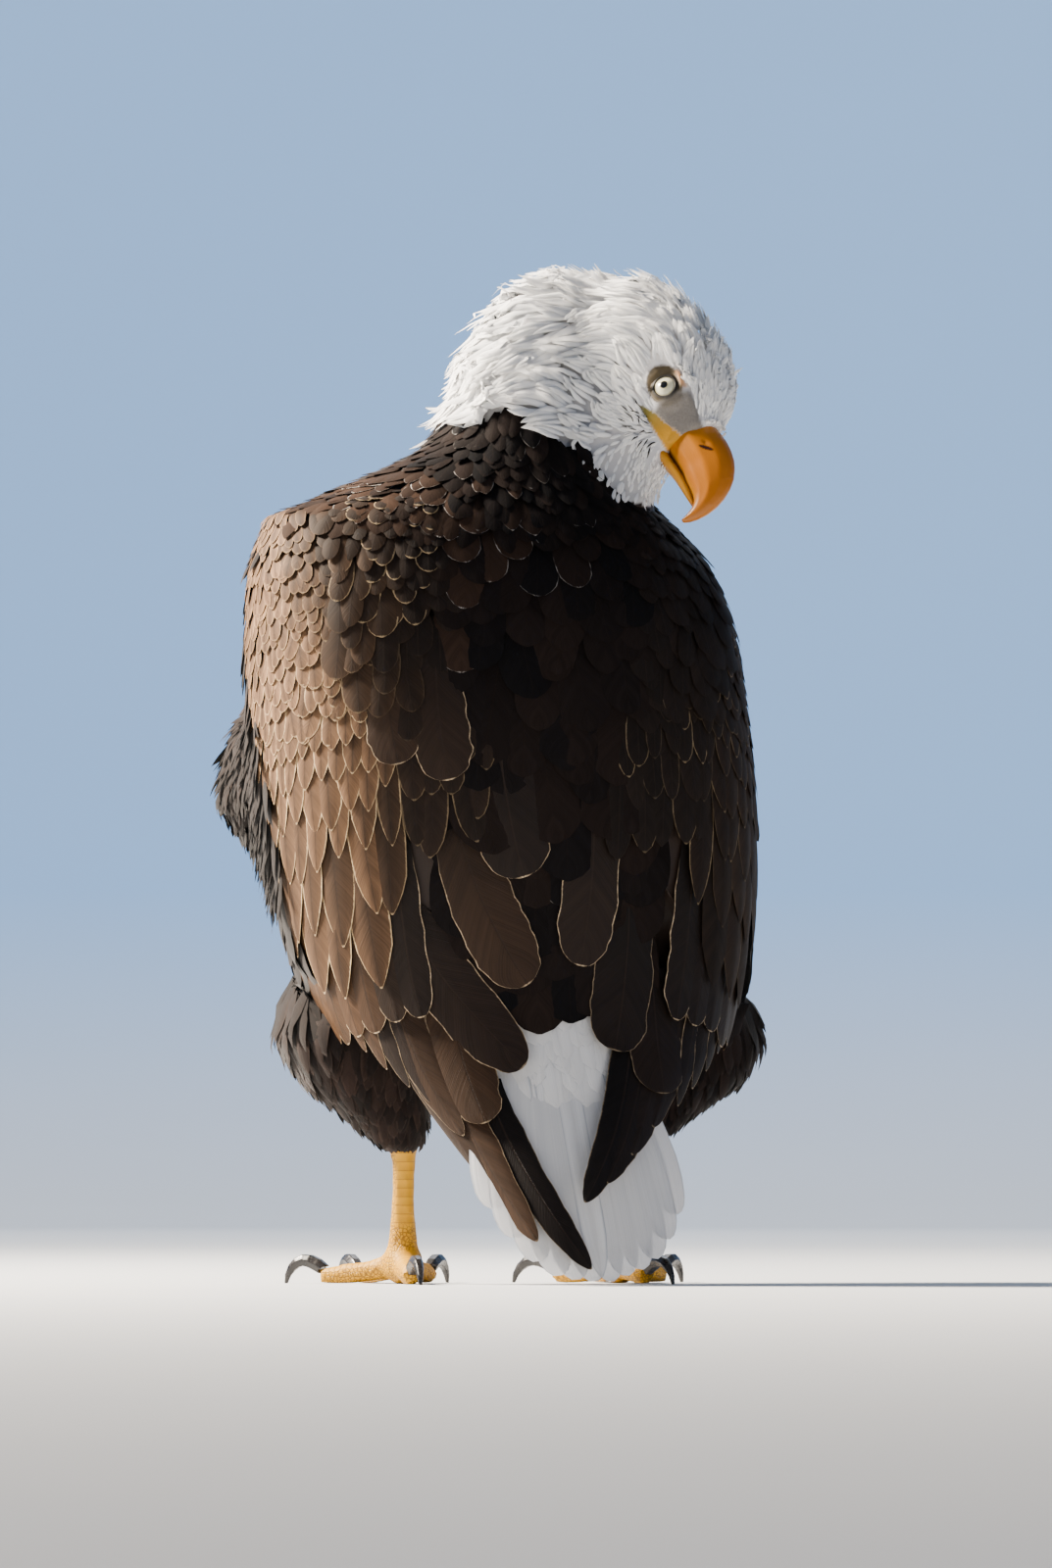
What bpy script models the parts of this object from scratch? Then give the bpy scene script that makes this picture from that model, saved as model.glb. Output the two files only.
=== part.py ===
"""A bald eagle at life size, upright on its feet and its tail, looking down over its right shoulder.

Axes: the breast faces -Y, +X is the bird's left, +Z is up and the floor is z = 0. The tables hold millimetres,
and MM turns them into metres. Every solid is the outside of the plumage, out to the tips of the feathers.
"""

import math

import bmesh
import bpy
import numpy as np
from mathutils import Matrix, Vector

MM = 0.001
GAP = 0.35 * MM  # the air between two solids that touch
LEFT, RIGHT = "left", "right"
SIGN = {LEFT: 1.0, RIGHT: -1.0}

# The neck bends in an upright plane, this far behind straight out to the bird's right.
NECK_PLANE = math.radians(20.0)
ASIDE = Vector((-math.cos(NECK_PLANE), math.sin(NECK_PLANE), 0.0))
UP = Vector((0.0, 0.0, 1.0))
BEHIND = Vector((math.sin(NECK_PLANE), math.cos(NECK_PLANE), 0.0))

# The head: how far the bill points below level, how far it comes out of the neck's plane, and how far the
# crown tips.
BILL_DROP = math.radians(64.0)
BILL_OUT = math.radians(28.0)
CROWN_TIP = math.radians(4.0)
HEAD_AT = (107.8, 561.0, 6.0)  # the middle of the head, a little behind the eyes: aside, up and behind

# The outside of body and folded wings at a height: reach to the left, the right, the back and the front,
# and the middle's place, which goes back as the wings pass over the tail. z    left  right  back  front
# middle
BODY = (
    (560.0, 26.0, 38.0, 24.0, 44.0, -6.0),
    (543.0, 36.0, 50.0, 34.0, 54.0, -5.0),
    (525.0, 43.0, 64.0, 45.0, 65.0, -3.0),
    (511.0, 66.0, 80.0, 56.0, 76.0, 0.0),
    (500.0, 102.0, 90.0, 64.0, 84.0, 0.0),
    (488.0, 145.0, 101.0, 73.0, 92.0, 0.0),
    (472.0, 157.0, 117.0, 82.0, 101.0, 0.0),
    (450.0, 163.0, 133.0, 91.0, 110.0, 0.0),
    (420.0, 164.0, 146.0, 99.0, 119.0, 0.0),
    (380.0, 163.0, 153.0, 104.0, 127.0, 0.0),
    (340.0, 160.0, 158.0, 107.0, 132.0, 0.0),
    (300.0, 156.0, 161.0, 108.0, 133.0, 0.0),
    (260.0, 150.0, 161.0, 107.0, 128.0, 0.0),
    (220.0, 142.0, 157.0, 100.0, 115.0, 5.0),
    (180.0, 129.0, 147.0, 91.0, 92.0, 15.0),
    (140.0, 110.0, 127.0, 74.0, 62.0, 40.0),
    (100.0, 76.0, 82.0, 46.0, 40.0, 84.0),
    (60.0, 50.0, 54.0, 28.0, 28.0, 120.0),
    (30.0, 36.0, 38.0, 18.0, 20.0, 142.0),
    (0.0, 26.0, 28.0, 12.0, 14.0, 158.0),
)
SQUARENESS = 2.25  # 2 is an ellipse, more is boxier
TRUNK_TOP, TRUNK_BOTTOM = 545.0, 152.0

# The trunk's top slopes down to the right, where the ruff hangs over it.
TOP_SLOPE, SLOPE_FROM = 0.4, 495.0

# The folded wing's thickness down its length.
WING_THICK = (
    (0.0, 2.4), (60.0, 3.0), (110.0, 4.0), (160.0, 6.0), (220.0, 10.0), (300.0, 13.0), (440.0, 14.0),
    (500.0, 14.0),
)
# The wings' front and rear edges, in degrees round from the back's midline: 90 is straight out to the
# wing's own side, and less than 0 is past the midline.
WING_FRONT_EDGE = {
    LEFT: (
        (0.0, 4.0), (12.0, 12.0), (30.0, 27.0), (60.0, 42.0), (94.0, 50.0), (118.0, 72.0), (145.0, 86.0),
        (200.0, 93.0), (250.0, 94.0), (300.0, 96.0), (350.0, 102.0), (400.0, 115.0), (470.0, 127.0),
        (520.0, 130.0),
    ),
    RIGHT: (
        (40.0, 8.0), (48.0, 14.0), (62.0, 30.0), (90.0, 51.0), (118.0, 68.0), (145.0, 84.0), (200.0, 93.0),
        (250.0, 98.0), (300.0, 104.0), (400.0, 117.0), (470.0, 127.0), (520.0, 130.0),
    ),
}
WING_REAR_EDGE = {
    LEFT: (
        (0.0, -20.0), (12.0, -20.0), (47.0, -13.0), (70.0, -4.0), (92.0, 4.0), (107.0, 10.0),
        (138.0, 6.0), (155.0, 1.0), (175.0, -3.0), (192.0, -7.0), (229.0, -1.0), (300.0, 2.5),
        (330.0, 16.0), (370.0, 32.0), (440.0, 44.0), (500.0, 60.0),
    ),
    RIGHT: (
        (40.0, 1.0), (63.0, 2.0), (91.0, 9.0), (120.0, 13.0), (146.0, 15.0), (160.0, 12.0), (192.0, 8.5),
        (229.0, 2.5), (300.0, -0.5), (330.0, 16.0), (370.0, 32.0), (440.0, 44.0), (500.0, 60.0),
    ),
}
WING_TOP = {LEFT: 487.0, RIGHT: 471.0}
WING_TIP = {LEFT: 11.0, RIGHT: 47.0}
WING_COLUMNS = 11
SCALLOPS, SCALLOP = 5, 6.0  # the rounded ends in a row of feathers, and their depth
WING_PROUD = 2.5  # how far a wing stands out from the mantle and breast
BEDDING = 3.0  # how much further in a wing goes before the trunk is cut out of it
WINGS_MEET = 325.0  # below this the two wings lie edge to edge down the back
WING_LIFT = {LEFT: 0.0, RIGHT: 5.5}  # the right wing's end lies over the left one's
LIFT_FROM, LIFT_FULL = 150.0, 90.0
# Where one group of feathers gives way to the next, from the wing's front edge (0) to its rear edge (1).
COVERTS_END = ((0.0, 204.0), (0.25, 176.0), (0.5, 192.0), (0.75, 246.0), (1.0, 296.0))
SECONDARIES_END = ((0.0, 150.0), (0.25, 136.0), (0.5, 118.0), (0.75, 104.0), (1.0, 124.0))

# The flank feathers that puff out in front of the left wing.
FLANK_PUFF = {"height": 317.0, "spread": 34.0, "angle": -34.0, "width": 16.0, "reach": 42.0}

# Twelve tail feathers, overlapping as one curved blade, with its end on the floor.
TAIL_ROOT, TAIL_END = (-1.0, 66.0, 236.0), (-13.0, 158.5, -4.0)
TAIL_HALF_WIDTH = ((0.0, 25.0), (0.35, 44.0), (0.65, 63.0), (0.9, 71.0), (1.0, 70.0))
TAIL_ARCH = 13.0
TAIL_THICK = ((0.0, 7.0), (0.5, 4.5), (1.0, 2.6))
TAIL_TIPS = 6  # the rounded ends that show, as the feathers overlap
TAIL_CORNER_RISE = 0.20  # the outermost feathers end this share of the length short of the middle ones

# White feathers round the root of the tail: share along the tail, half-width, half-depth, and how far in
# front of it.
TAIL_COVERTS = (
    (-0.02, 50.0, 38.0, 22.0), (0.14, 52.0, 36.0, 21.0), (0.30, 48.0, 30.0, 20.0), (0.45, 42.0, 23.0, 17.0),
    (0.57, 33.0, 14.0, 12.0), (0.66, 18.0, 6.0, 8.0),
)

# The neck fans out in its plane about the corner under the throat, from the shoulders to the back of the
# head: the fan's angle, where each ring starts and ends along it, its half-width across the plane, and
# its place behind it.
THROAT_CORNER = (84.0, 497.0)
NECK = (
    (190.0, 10.0, 96.0, 58.0, 2.0),
    (176.0, 8.0, 108.0, 55.0, 1.0),
    (160.0, 8.0, 127.0, 51.0, -2.0),
    (144.0, 10.0, 142.0, 48.0, -7.0),
    (129.0, 18.0, 152.0, 46.0, -14.0),
    (116.0, 36.0, 160.0, 44.0, -22.0),
    (106.0, 60.0, 155.0, 38.0, -28.0),
    (98.0, 84.0, 147.0, 30.0, -31.0),
)

# The head from behind to the bill's root: ahead of its middle, crown, throat, half-width, and how far the
# throat runs on.
HEAD = (
    (-87.0, 14.0, -36.0, 21.0, 0.0),
    (-77.0, 26.0, -50.0, 32.0, 0.0),
    (-62.0, 33.0, -57.0, 39.0, 0.0),
    (-46.0, 38.5, -59.0, 41.5, 0.0),
    (-30.0, 42.0, -57.0, 40.5, 2.0),
    (-14.0, 44.0, -54.0, 37.5, 5.0),
    (0.0, 42.5, -51.0, 32.5, 9.0),
    (11.0, 39.0, -47.0, 28.5, 12.0),
    (20.0, 34.5, -44.0, 23.0, 15.0),
    (28.0, 29.0, -42.0, 19.0, 17.0),
    (34.0, 23.0, -38.0, 16.0, 19.0),
    (38.0, 17.0, -33.0, 13.0, 20.0),
)
THROAT_FROM = -20.0  # below this the throat's feathers hang on past the root of the bill

# The upper bill: culmen (ahead, up), cutting edge (ahead, up) and half-width, root to tip.
UPPER_BILL = (
    (34.0, 15.0, 29.0, -18.5, 13.2),
    (44.0, 17.2, 43.0, -17.8, 12.4),
    (54.0, 17.8, 53.5, -17.2, 11.2),
    (63.5, 16.4, 62.0, -17.6, 10.0),
    (72.5, 12.4, 69.5, -17.0, 8.7),
    (80.0, 5.6, 74.5, -17.0, 7.2),
    (85.6, -3.6, 78.3, -18.6, 5.7),
    (88.2, -13.8, 81.0, -22.0, 4.1),
    (87.8, -22.6, 82.8, -26.4, 2.6),
    (85.6, -29.2, 83.6, -29.6, 1.1),
)
CERE_SHARE = 0.24
NOSTRIL = {"ahead": 48.0, "up": 6.5, "half_length": 4.2, "half_height": 1.7, "depth": 3.2, "slant": 18.0}
# The lower bill, from the corner of the mouth: ahead, top, bottom and half-width.
LOWER_BILL = (
    (19.0, -19.0, -26.5, 12.6),
    (32.0, -19.0, -26.0, 11.6),
    (44.0, -18.6, -24.8, 10.2),
    (56.0, -18.2, -23.8, 8.4),
    (66.0, -18.3, -22.8, 6.4),
    (74.0, -18.9, -22.0, 4.2),
    (78.0, -19.8, -21.6, 1.8),
)

EYE_RADIUS = 11.2
EYE_AHEAD = 8.0
EYE_ASIDE = 20.5
SOCKET_MARGIN = 0.6

# The feathered thigh: height, out to the side, back, half-width across and half-width fore and aft.
THIGH = (
    (266.0, 74.0, -26.0, 20.0, 32.0),
    (236.0, 81.0, -27.0, 33.0, 49.0),
    (205.0, 90.0, -26.0, 39.0, 58.0),
    (178.0, 96.0, -22.0, 45.0, 57.0),
    (152.0, 97.0, -17.0, 47.0, 51.0),
    (128.0, 89.0, -12.0, 41.0, 42.0),
    (104.0, 75.0, -6.0, 25.0, 28.0),
    (86.0, 67.0, -3.0, 12.5, 14.0),
)
LEG_OUT = {LEFT: 0.0, RIGHT: 20.0}  # the right leg stands wider
THIGH_SPREAD = {LEFT: 1.0, RIGHT: 1.25}  # and its feathers are puffed out
ANKLE = (62.0, -18.0, 22.0)
HOCK = (66.0, -2.0, 98.0)
SHANK_RADII = (10.0, 7.8, 8.0, 11.0)

# Each toe: heading in degrees out from straight ahead, length to the claw, girth and the claw's length.
TOES = {
    "toe_middle": (6.0, 76.0, 8.4, 31.0),
    "toe_inner": (-36.0, 50.0, 8.6, 35.0),
    "toe_outer": (46.0, 57.0, 7.8, 27.0),
    "toe_hind": (172.0, 40.0, 8.8, 38.0),
}
SOLE = 0.84  # height of a toe's middle line over its radius, so that the underside is flat on the floor

PLUMAGE = {
    "brown": ((0.035, 0.022, 0.015), 0.75),
    "tan": ((0.16, 0.095, 0.055), 0.75),
    "white": ((0.80, 0.79, 0.77), 0.8),
    "bill_yellow": ((0.80, 0.42, 0.05), 0.35),
    "skin_yellow": ((0.75, 0.48, 0.05), 0.5),
    "claw_black": ((0.02, 0.02, 0.022), 0.3),
    "eye_straw": ((0.70, 0.66, 0.42), 0.08),
}


# ---------------------------------------------------------------- numbers

def smooth(table, at):
    """A table's other columns where its first column is `at`, on a curve through all of its rows."""
    rows = np.array(sorted(table), float)
    x, y = rows[:, 0], rows[:, 1:]
    slope = np.gradient(y, x, axis=0)
    i = int(np.clip(np.searchsorted(x, at) - 1, 0, len(x) - 2))
    span = x[i + 1] - x[i]
    t = float(np.clip((at - x[i]) / span, 0.0, 1.0))
    values = (
        (2 * t**3 - 3 * t**2 + 1) * y[i]
        + (t**3 - 2 * t**2 + t) * span * slope[i]
        + (3 * t**2 - 2 * t**3) * y[i + 1]
        + (t**3 - t**2) * span * slope[i + 1]
    )
    return values if len(values) > 1 else float(values[0])


def straight(table, at):
    """The same for a two-column table, with straight lines between its rows."""
    rows = np.array(sorted(table), float)
    return float(np.interp(at, rows[:, 0], rows[:, 1]))


def rounded(angle, power=SQUARENESS):
    """Cosine and sine of a superellipse at this angle."""
    c, s = math.cos(angle), math.sin(angle)
    return math.copysign(abs(c) ** (2 / power), c), math.copysign(abs(s) ** (2 / power), s)


# ---------------------------------------------------------------- solids

WHOLE = {}  # each piece's shape before its neighbours are cut out of it


def material(finish):
    """The Principled material of one kind of plumage, horn or skin."""
    found = bpy.data.materials.get(finish)
    if found:
        return found
    colour, roughness = PLUMAGE[finish]
    made = bpy.data.materials.new(finish)
    made.use_nodes = True
    shader = made.node_tree.nodes["Principled BSDF"]
    shader.inputs["Base Color"].default_value = (*colour, 1.0)
    shader.inputs["Roughness"].default_value = roughness
    shader.inputs["Metallic"].default_value = 0.0
    return made


def add_object(name, shape, finish, collection):
    """A named object for a closed shape, in triangles, smooth apart from its sharp edges."""
    face_outwards(shape)
    bmesh.ops.triangulate(shape, faces=shape.faces)
    mesh = bpy.data.meshes.new(name)
    shape.to_mesh(mesh)
    shape.free()
    mesh.materials.append(material(finish))
    mesh.shade_smooth()
    mesh.set_sharp_from_angle(angle=math.radians(50))
    made = bpy.data.objects.new(name, mesh)
    collection.objects.link(made)
    WHOLE[name] = mesh.copy()
    return made


def face_outwards(shape):
    """Turns every face of a closed shape outwards."""
    bmesh.ops.recalc_face_normals(shape, faces=shape.faces)
    if shape.calc_volume(signed=True) < 0:
        bmesh.ops.reverse_faces(shape, faces=shape.faces)


def loft(name, rings, finish, collection):
    """A closed solid through rings of equally many points, capped at both ends."""
    shape = bmesh.new()
    loops = [[shape.verts.new(Vector(point) * MM) for point in ring] for ring in rings]
    for near, far in zip(loops, loops[1:]):
        for i in range(len(near)):
            j = (i + 1) % len(near)
            shape.faces.new((near[i], near[j], far[j], far[i]))
    for loop in (loops[0], loops[-1]):
        shape.faces.new(loop)
    return add_object(name, shape, finish, collection)


def ball(name, centre, radius, finish, collection, matrix=None, scale=(1.0, 1.0, 1.0), segments=16):
    """A sphere or ellipsoid from the UV sphere primitive."""
    shape = bmesh.new()
    bmesh.ops.create_uvsphere(shape, u_segments=segments, v_segments=segments // 2 + 2, radius=radius * MM)
    bmesh.ops.scale(shape, vec=scale, verts=shape.verts)
    bmesh.ops.transform(shape, matrix=matrix or Matrix.Identity(4), verts=shape.verts)
    bmesh.ops.translate(shape, vec=Vector(centre) * MM, verts=shape.verts)
    return add_object(name, shape, finish, collection)


def tapered_tube(name, points, radii, finish, collection, sides=1):
    """A tube of changing girth, from a bevelled curve, as a mesh with welded caps."""
    curve = bpy.data.curves.new(name, "CURVE")
    curve.dimensions = "3D"
    curve.bevel_depth = MM
    curve.bevel_resolution = sides
    curve.use_fill_caps = True
    curve.resolution_u = 2
    spline = curve.splines.new("NURBS")
    spline.points.add(len(points) - 1)
    spline.use_endpoint_u = True
    spline.order_u = 3
    for knot, point, radius in zip(spline.points, points, radii):
        knot.co = (*(Vector(point) * MM), 1.0)
        knot.radius = radius
    guide = bpy.data.objects.new(name + "_guide", curve)
    collection.objects.link(guide)
    mesh = evaluated(guide)
    bpy.data.objects.remove(guide)
    shape = bmesh.new()
    shape.from_mesh(mesh)
    bmesh.ops.remove_doubles(shape, verts=shape.verts, dist=0.02 * MM)
    return add_object(name, shape, finish, collection)


def evaluated(obj):
    """The object's mesh with its modifiers applied."""
    bpy.context.view_layer.update()
    graph = bpy.context.evaluated_depsgraph_get()
    return bpy.data.meshes.new_from_object(obj.evaluated_get(graph), depsgraph=graph)


def grown(obj, by, cutters):
    """A cutter: the object's whole shape, pushed out along its normals."""
    mesh = WHOLE[obj.name].copy()
    shape = bmesh.new()
    shape.from_mesh(mesh)
    shape.normal_update()
    moves = [(v, v.normal * min(v.calc_shell_factor(), 2.5)) for v in shape.verts]
    for vert, normal in moves:
        vert.co += normal * by
    shape.to_mesh(mesh)
    shape.free()
    made = bpy.data.objects.new(obj.name + "_cutter", mesh)
    cutters.objects.link(made)
    made.hide_render = True
    made.display_type = "WIRE"
    return made


def largest_island(mesh):
    """Keeps the biggest connected piece of a mesh, so that no crumbs of a cut are left."""
    shape = bmesh.new()
    shape.from_mesh(mesh)
    bmesh.ops.remove_doubles(shape, verts=shape.verts, dist=0.002 * MM)
    bmesh.ops.dissolve_degenerate(shape, dist=0.002 * MM, edges=shape.edges)
    left, islands = set(shape.verts), []
    while left:
        island, edge = set(), [left.pop()]
        while edge:
            vert = edge.pop()
            island.add(vert)
            near = {e.other_vert(vert) for e in vert.link_edges} & left
            left -= near
            edge.extend(near)
        islands.append(island)
    keep = max(islands, key=len)
    bmesh.ops.delete(shape, geom=[v for v in shape.verts if v not in keep], context="VERTS")
    shape.to_mesh(mesh)
    shape.free()


def carve(obj, others, cutters, gap=GAP):
    """Cuts other pieces out of this one, and leaves the gap between them."""
    for other in others:
        cutter = grown(other, gap, cutters)
        cut = obj.modifiers.new("clear_of_" + other.name, "BOOLEAN")
        cut.operation = "DIFFERENCE"
        cut.object = cutter
        mesh = evaluated(obj)
        obj.modifiers.clear()
        largest_island(mesh)
        mesh.set_sharp_from_angle(angle=math.radians(45))
        obj.data = mesh
        mesh.name = obj.name
    return obj


def stand_flat(obj, level=0.0):
    """Takes away what is below the floor, and closes the cut with a flat."""
    shape = bmesh.new()
    shape.from_mesh(obj.data)
    everything = [*shape.verts, *shape.edges, *shape.faces]
    cut = bmesh.ops.bisect_plane(
        shape, geom=everything, plane_co=(0, 0, level), plane_no=(0, 0, -1), clear_outer=True, dist=1e-7
    )
    rim = [e for e in cut["geom_cut"] if isinstance(e, bmesh.types.BMEdge)]
    bmesh.ops.holes_fill(shape, edges=rim)
    bmesh.ops.triangulate(shape, faces=[f for f in shape.faces if len(f.verts) > 4])
    shape.to_mesh(obj.data)
    shape.free()
    return obj


# ---------------------------------------------------------------- trunk and tail

def body_point(z, angle, side=None, inset=0.0):
    """A point of the body's outside. The angle runs round from the back's midline to the given side."""
    left, right, back, front, middle = smooth(BODY, z)
    across, along = rounded(math.radians(90.0 - angle))
    reach = left if side == LEFT else right
    depth = (back if along > 0 else front) - inset
    return Vector((SIGN[side] * max(reach - inset, 1.0) * across, middle + max(depth, 1.0) * along, z))


def wing_top(side, share):
    """The height of the wing's upper edge, which slopes away before and behind the wrist."""
    return WING_TOP[side] - 26.0 * max(0.0, 0.30 - share) / 0.30 - 22.0 * max(0.0, share - 0.55) / 0.45


def wing_depth(side, z, share):
    """How deep the folded wing goes into the body, which is nothing beyond the wing's own outline."""
    if not 0.0 <= share <= 1.0:
        return 0.0
    below_top = float(np.clip((wing_top(side, share) - z) / 28.0, 0.0, 1.0))
    edge = min(1.0, 2.0 * min(share, 1.0 - share) / 0.3)
    round_off = math.sqrt(1.0 - (1.0 - below_top) ** 2) * (0.35 + 0.65 * math.sqrt(edge))
    return straight(WING_THICK, z) * round_off


def trunk_ring(z, count=26):
    """One ring of the trunk, with a recess at each side for the wing."""
    left, right, back, front, middle = smooth(BODY, z)
    slope = TOP_SLOPE * float(np.clip((z - SLOPE_FROM) / (TRUNK_TOP - SLOPE_FROM), 0.0, 1.0))
    ring = []
    for i in range(count):
        angle = 2 * math.pi * i / count
        c, s = rounded(angle)
        side, reach = (LEFT, left) if c > 0 else (RIGHT, right)
        depth = back if s > 0 else front
        around = math.degrees(angle)
        from_back = abs((90.0 - around + 180.0) % 360.0 - 180.0)
        fore, rear = smooth(WING_FRONT_EDGE[side], z), straight(WING_REAR_EDGE[side], z)
        share = (from_back - fore) / (rear - fore)
        inset = wing_depth(side, z, min(share, 1.0) if z < WINGS_MEET else share)
        puff = 0.0
        if c > 0:
            turn = (around + 180.0) % 360.0 - 180.0 - FLANK_PUFF["angle"]
            rise = z - FLANK_PUFF["height"]
            fall = (turn / FLANK_PUFF["width"]) ** 2 + (rise / FLANK_PUFF["spread"]) ** 2
            puff = FLANK_PUFF["reach"] * math.exp(-fall)
        x = c * max(reach - inset + puff, 1.0)
        ring.append((x, middle + s * max(depth - inset + 0.4 * puff, 1.0), z + slope * x))
    return ring


def make_trunk(collection):
    """Breast, belly, mantle and back, from the root of the neck to the vent."""
    steps = np.concatenate([np.linspace(TRUNK_TOP, 470.0, 6), np.linspace(445.0, 200.0, 8), (176.0,)])
    rings = [trunk_ring(z) for z in steps]
    low = np.array(trunk_ring(TRUNK_BOTTOM))
    middle = low.mean(axis=0)
    for share, drop in ((0.72, 4.0), (0.36, 8.0)):
        shrunk = middle + (low - middle) * share
        shrunk[:, 2] = TRUNK_BOTTOM - drop
        rings.append(shrunk)
    return loft("trunk", rings, "brown", collection)


def tail_frame(share):
    """Centre, direction down the tail and outward normal of the tail's curved blade."""
    root, end = Vector(TAIL_ROOT), Vector(TAIL_END)
    down = (end - root).normalized()
    outward = Vector((0.0, down.z, -down.y)).normalized() * -1.0
    return root.lerp(end, share), down, outward


def make_tail(collection):
    """Twelve overlapping tail feathers as one arched blade with a scalloped end."""
    columns = np.linspace(-1.0, 1.0, 3 * TAIL_TIPS + 1)
    rings = []
    for along in (0.0, 0.4, 0.8, 1.0):
        outer, inner = [], []
        for u in columns:
            scallop = 0.03 * (1.0 - abs(math.sin(math.pi * TAIL_TIPS * (u + 1.0) / 2.0)))
            reach = 1.0 - TAIL_CORNER_RISE * abs(u) ** 2.6 - scallop
            share = along * reach
            centre, down, outward = tail_frame(share)
            half = smooth(TAIL_HALF_WIDTH, share)
            arch = TAIL_ARCH * (0.35 + 0.65 * share) * (1.0 - u * u)
            thick = straight(TAIL_THICK, share)
            base = centre + Vector((half * u, 0, 0)) + outward * (arch - TAIL_ARCH * 0.6)
            outer.append(base + outward * thick / 2)
            inner.append(base - outward * thick / 2)
        rings.append(outer + inner[::-1])
    return stand_flat(loft("tail", rings, "white", collection))


def make_tail_coverts(collection):
    """The cone of white feathers over and under the root of the tail."""
    rings = []
    for share, half_width, half_depth, ahead in TAIL_COVERTS:
        centre, down, outward = tail_frame(share)
        centre = centre - outward * ahead
        ring = []
        for i in range(20):
            c, s = rounded(2 * math.pi * i / 20)
            ring.append(centre + Vector((c * half_width, 0, 0)) + outward * s * half_depth)
        rings.append(ring)
    return loft("tail_coverts", rings, "white", collection)


# ---------------------------------------------------------------- wings

def wing_point(side, z, share, inset=0.0):
    """A point on the folded wing's outside: share 0 is the front edge and 1 the rear edge at this height."""
    front, rear = smooth(WING_FRONT_EDGE[side], z), straight(WING_REAR_EDGE[side], z)
    angle = front + (rear - front) * share
    lift = WING_LIFT[side] * float(np.clip((LIFT_FROM - z) / (LIFT_FROM - LIFT_FULL), 0.0, 1.0))
    point = body_point(z, angle, side, inset - lift)
    return point


def scallop(share):
    """How far a row of feather ends dips here."""
    return SCALLOP * abs(math.sin(math.pi * SCALLOPS * share))


def wing_patch(name, side, top, bottom, rows, finish, collection):
    """A solid patch of the wing between two lines, as heights over the share from front to rear edge."""
    rings = []
    for row in range(rows):
        outer, inner = [], []
        for share in np.linspace(0.0, 1.0, WING_COLUMNS):
            high, low = top(share), bottom(share)
            z = high + (low - high) * row / (rows - 1)
            bedded = BEDDING * float(np.clip((z - 165.0) / 20.0, 0.0, 1.0))
            outer.append(wing_point(side, z, share, -WING_PROUD))
            inner.append(wing_point(side, z, share, max(wing_depth(side, z, share), 1.2) + bedded))
        rings.append(outer + inner[::-1])
    return loft(name, rings, finish, collection)


def make_wing(side, collection):
    """One folded wing in three groups of feathers: coverts, secondaries and primaries."""
    def top(share):
        return wing_top(side, share)

    def coverts_end(share):
        return smooth(COVERTS_END, share) - scallop(share)

    def secondaries_end(share):
        return smooth(SECONDARIES_END, share) - scallop(share)

    def tip(share):
        return WING_TIP[side] + 26.0 * (1.0 - share) ** 1.5

    patches = {
        "coverts": (top, coverts_end, 9, "tan"),
        "secondaries": (coverts_end, secondaries_end, 5, "brown"),
        "primaries": (secondaries_end, tip, 6, "brown"),
    }
    return [
        wing_patch(f"wing_{side}_{group}", side, high, low, rows, finish, collection)
        for group, (high, low, rows, finish) in patches.items()
    ]


# ---------------------------------------------------------------- neck, head and bill

def in_neck_plane(aside, up, behind):
    """A point from its places aside, up and behind."""
    return ASIDE * aside + UP * up + BEHIND * behind


def head_axes():
    """Ahead, up and right of the head, as the bird looks down over its right shoulder."""
    level = ASIDE * math.cos(BILL_DROP) - UP * math.sin(BILL_DROP)
    crown = ASIDE * math.sin(BILL_DROP) + UP * math.cos(BILL_DROP)
    ahead = level * math.cos(BILL_OUT) + BEHIND * math.sin(BILL_OUT)
    up = Matrix.Rotation(CROWN_TIP, 3, ahead) @ crown
    return ahead, up, ahead.cross(up)


def on_head(ahead, up, right=0.0):
    """A point given in the head's own directions, from its middle."""
    forward, upward, rightward = head_axes()
    return in_neck_plane(*HEAD_AT) + forward * ahead + upward * up + rightward * right


def head_ring(ahead, crown, throat, half_width, hang, count=18):
    """One ring of the head, egg-shaped with the throat a little narrower than the crown."""
    ring = []
    middle, half = (crown + throat) / 2, (crown - throat) / 2
    for i in range(count):
        c, s = rounded(2 * math.pi * i / count, 2.15)
        up = middle + half * s
        below = max(0.0, THROAT_FROM - up) / 20.0
        ring.append(on_head(ahead + hang * min(below, 1.0), up, half_width * c * (1.0 + 0.10 * s)))
    return ring


def make_head(collection):
    """Skull, cheeks and throat with their feathers, open at the sockets for the eyes."""
    stations = np.linspace(HEAD[0][0], HEAD[-1][0], 11)
    rings = [head_ring(x, *smooth(HEAD, x)) for x in stations]
    return loft("head", rings, "white", collection)


def make_neck(collection):
    """The neck's thick ruff, bent over towards the right shoulder."""
    rings = []
    for angle in np.linspace(NECK[0][0], NECK[-1][0], 9):
        near, far, half_across, behind = smooth(NECK, angle)
        turn = math.radians(angle)
        outward = ASIDE * math.cos(turn) + UP * math.sin(turn)
        centre = in_neck_plane(*THROAT_CORNER, behind) + outward * (near + far) / 2
        ring = []
        for i in range(18):
            c, s = rounded(2 * math.pi * i / 18, 2.1)
            ring.append(centre + outward * s * (far - near) / 2 + BEHIND * c * half_across)
        rings.append(ring)
    return loft("neck", rings, "white", collection)


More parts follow.
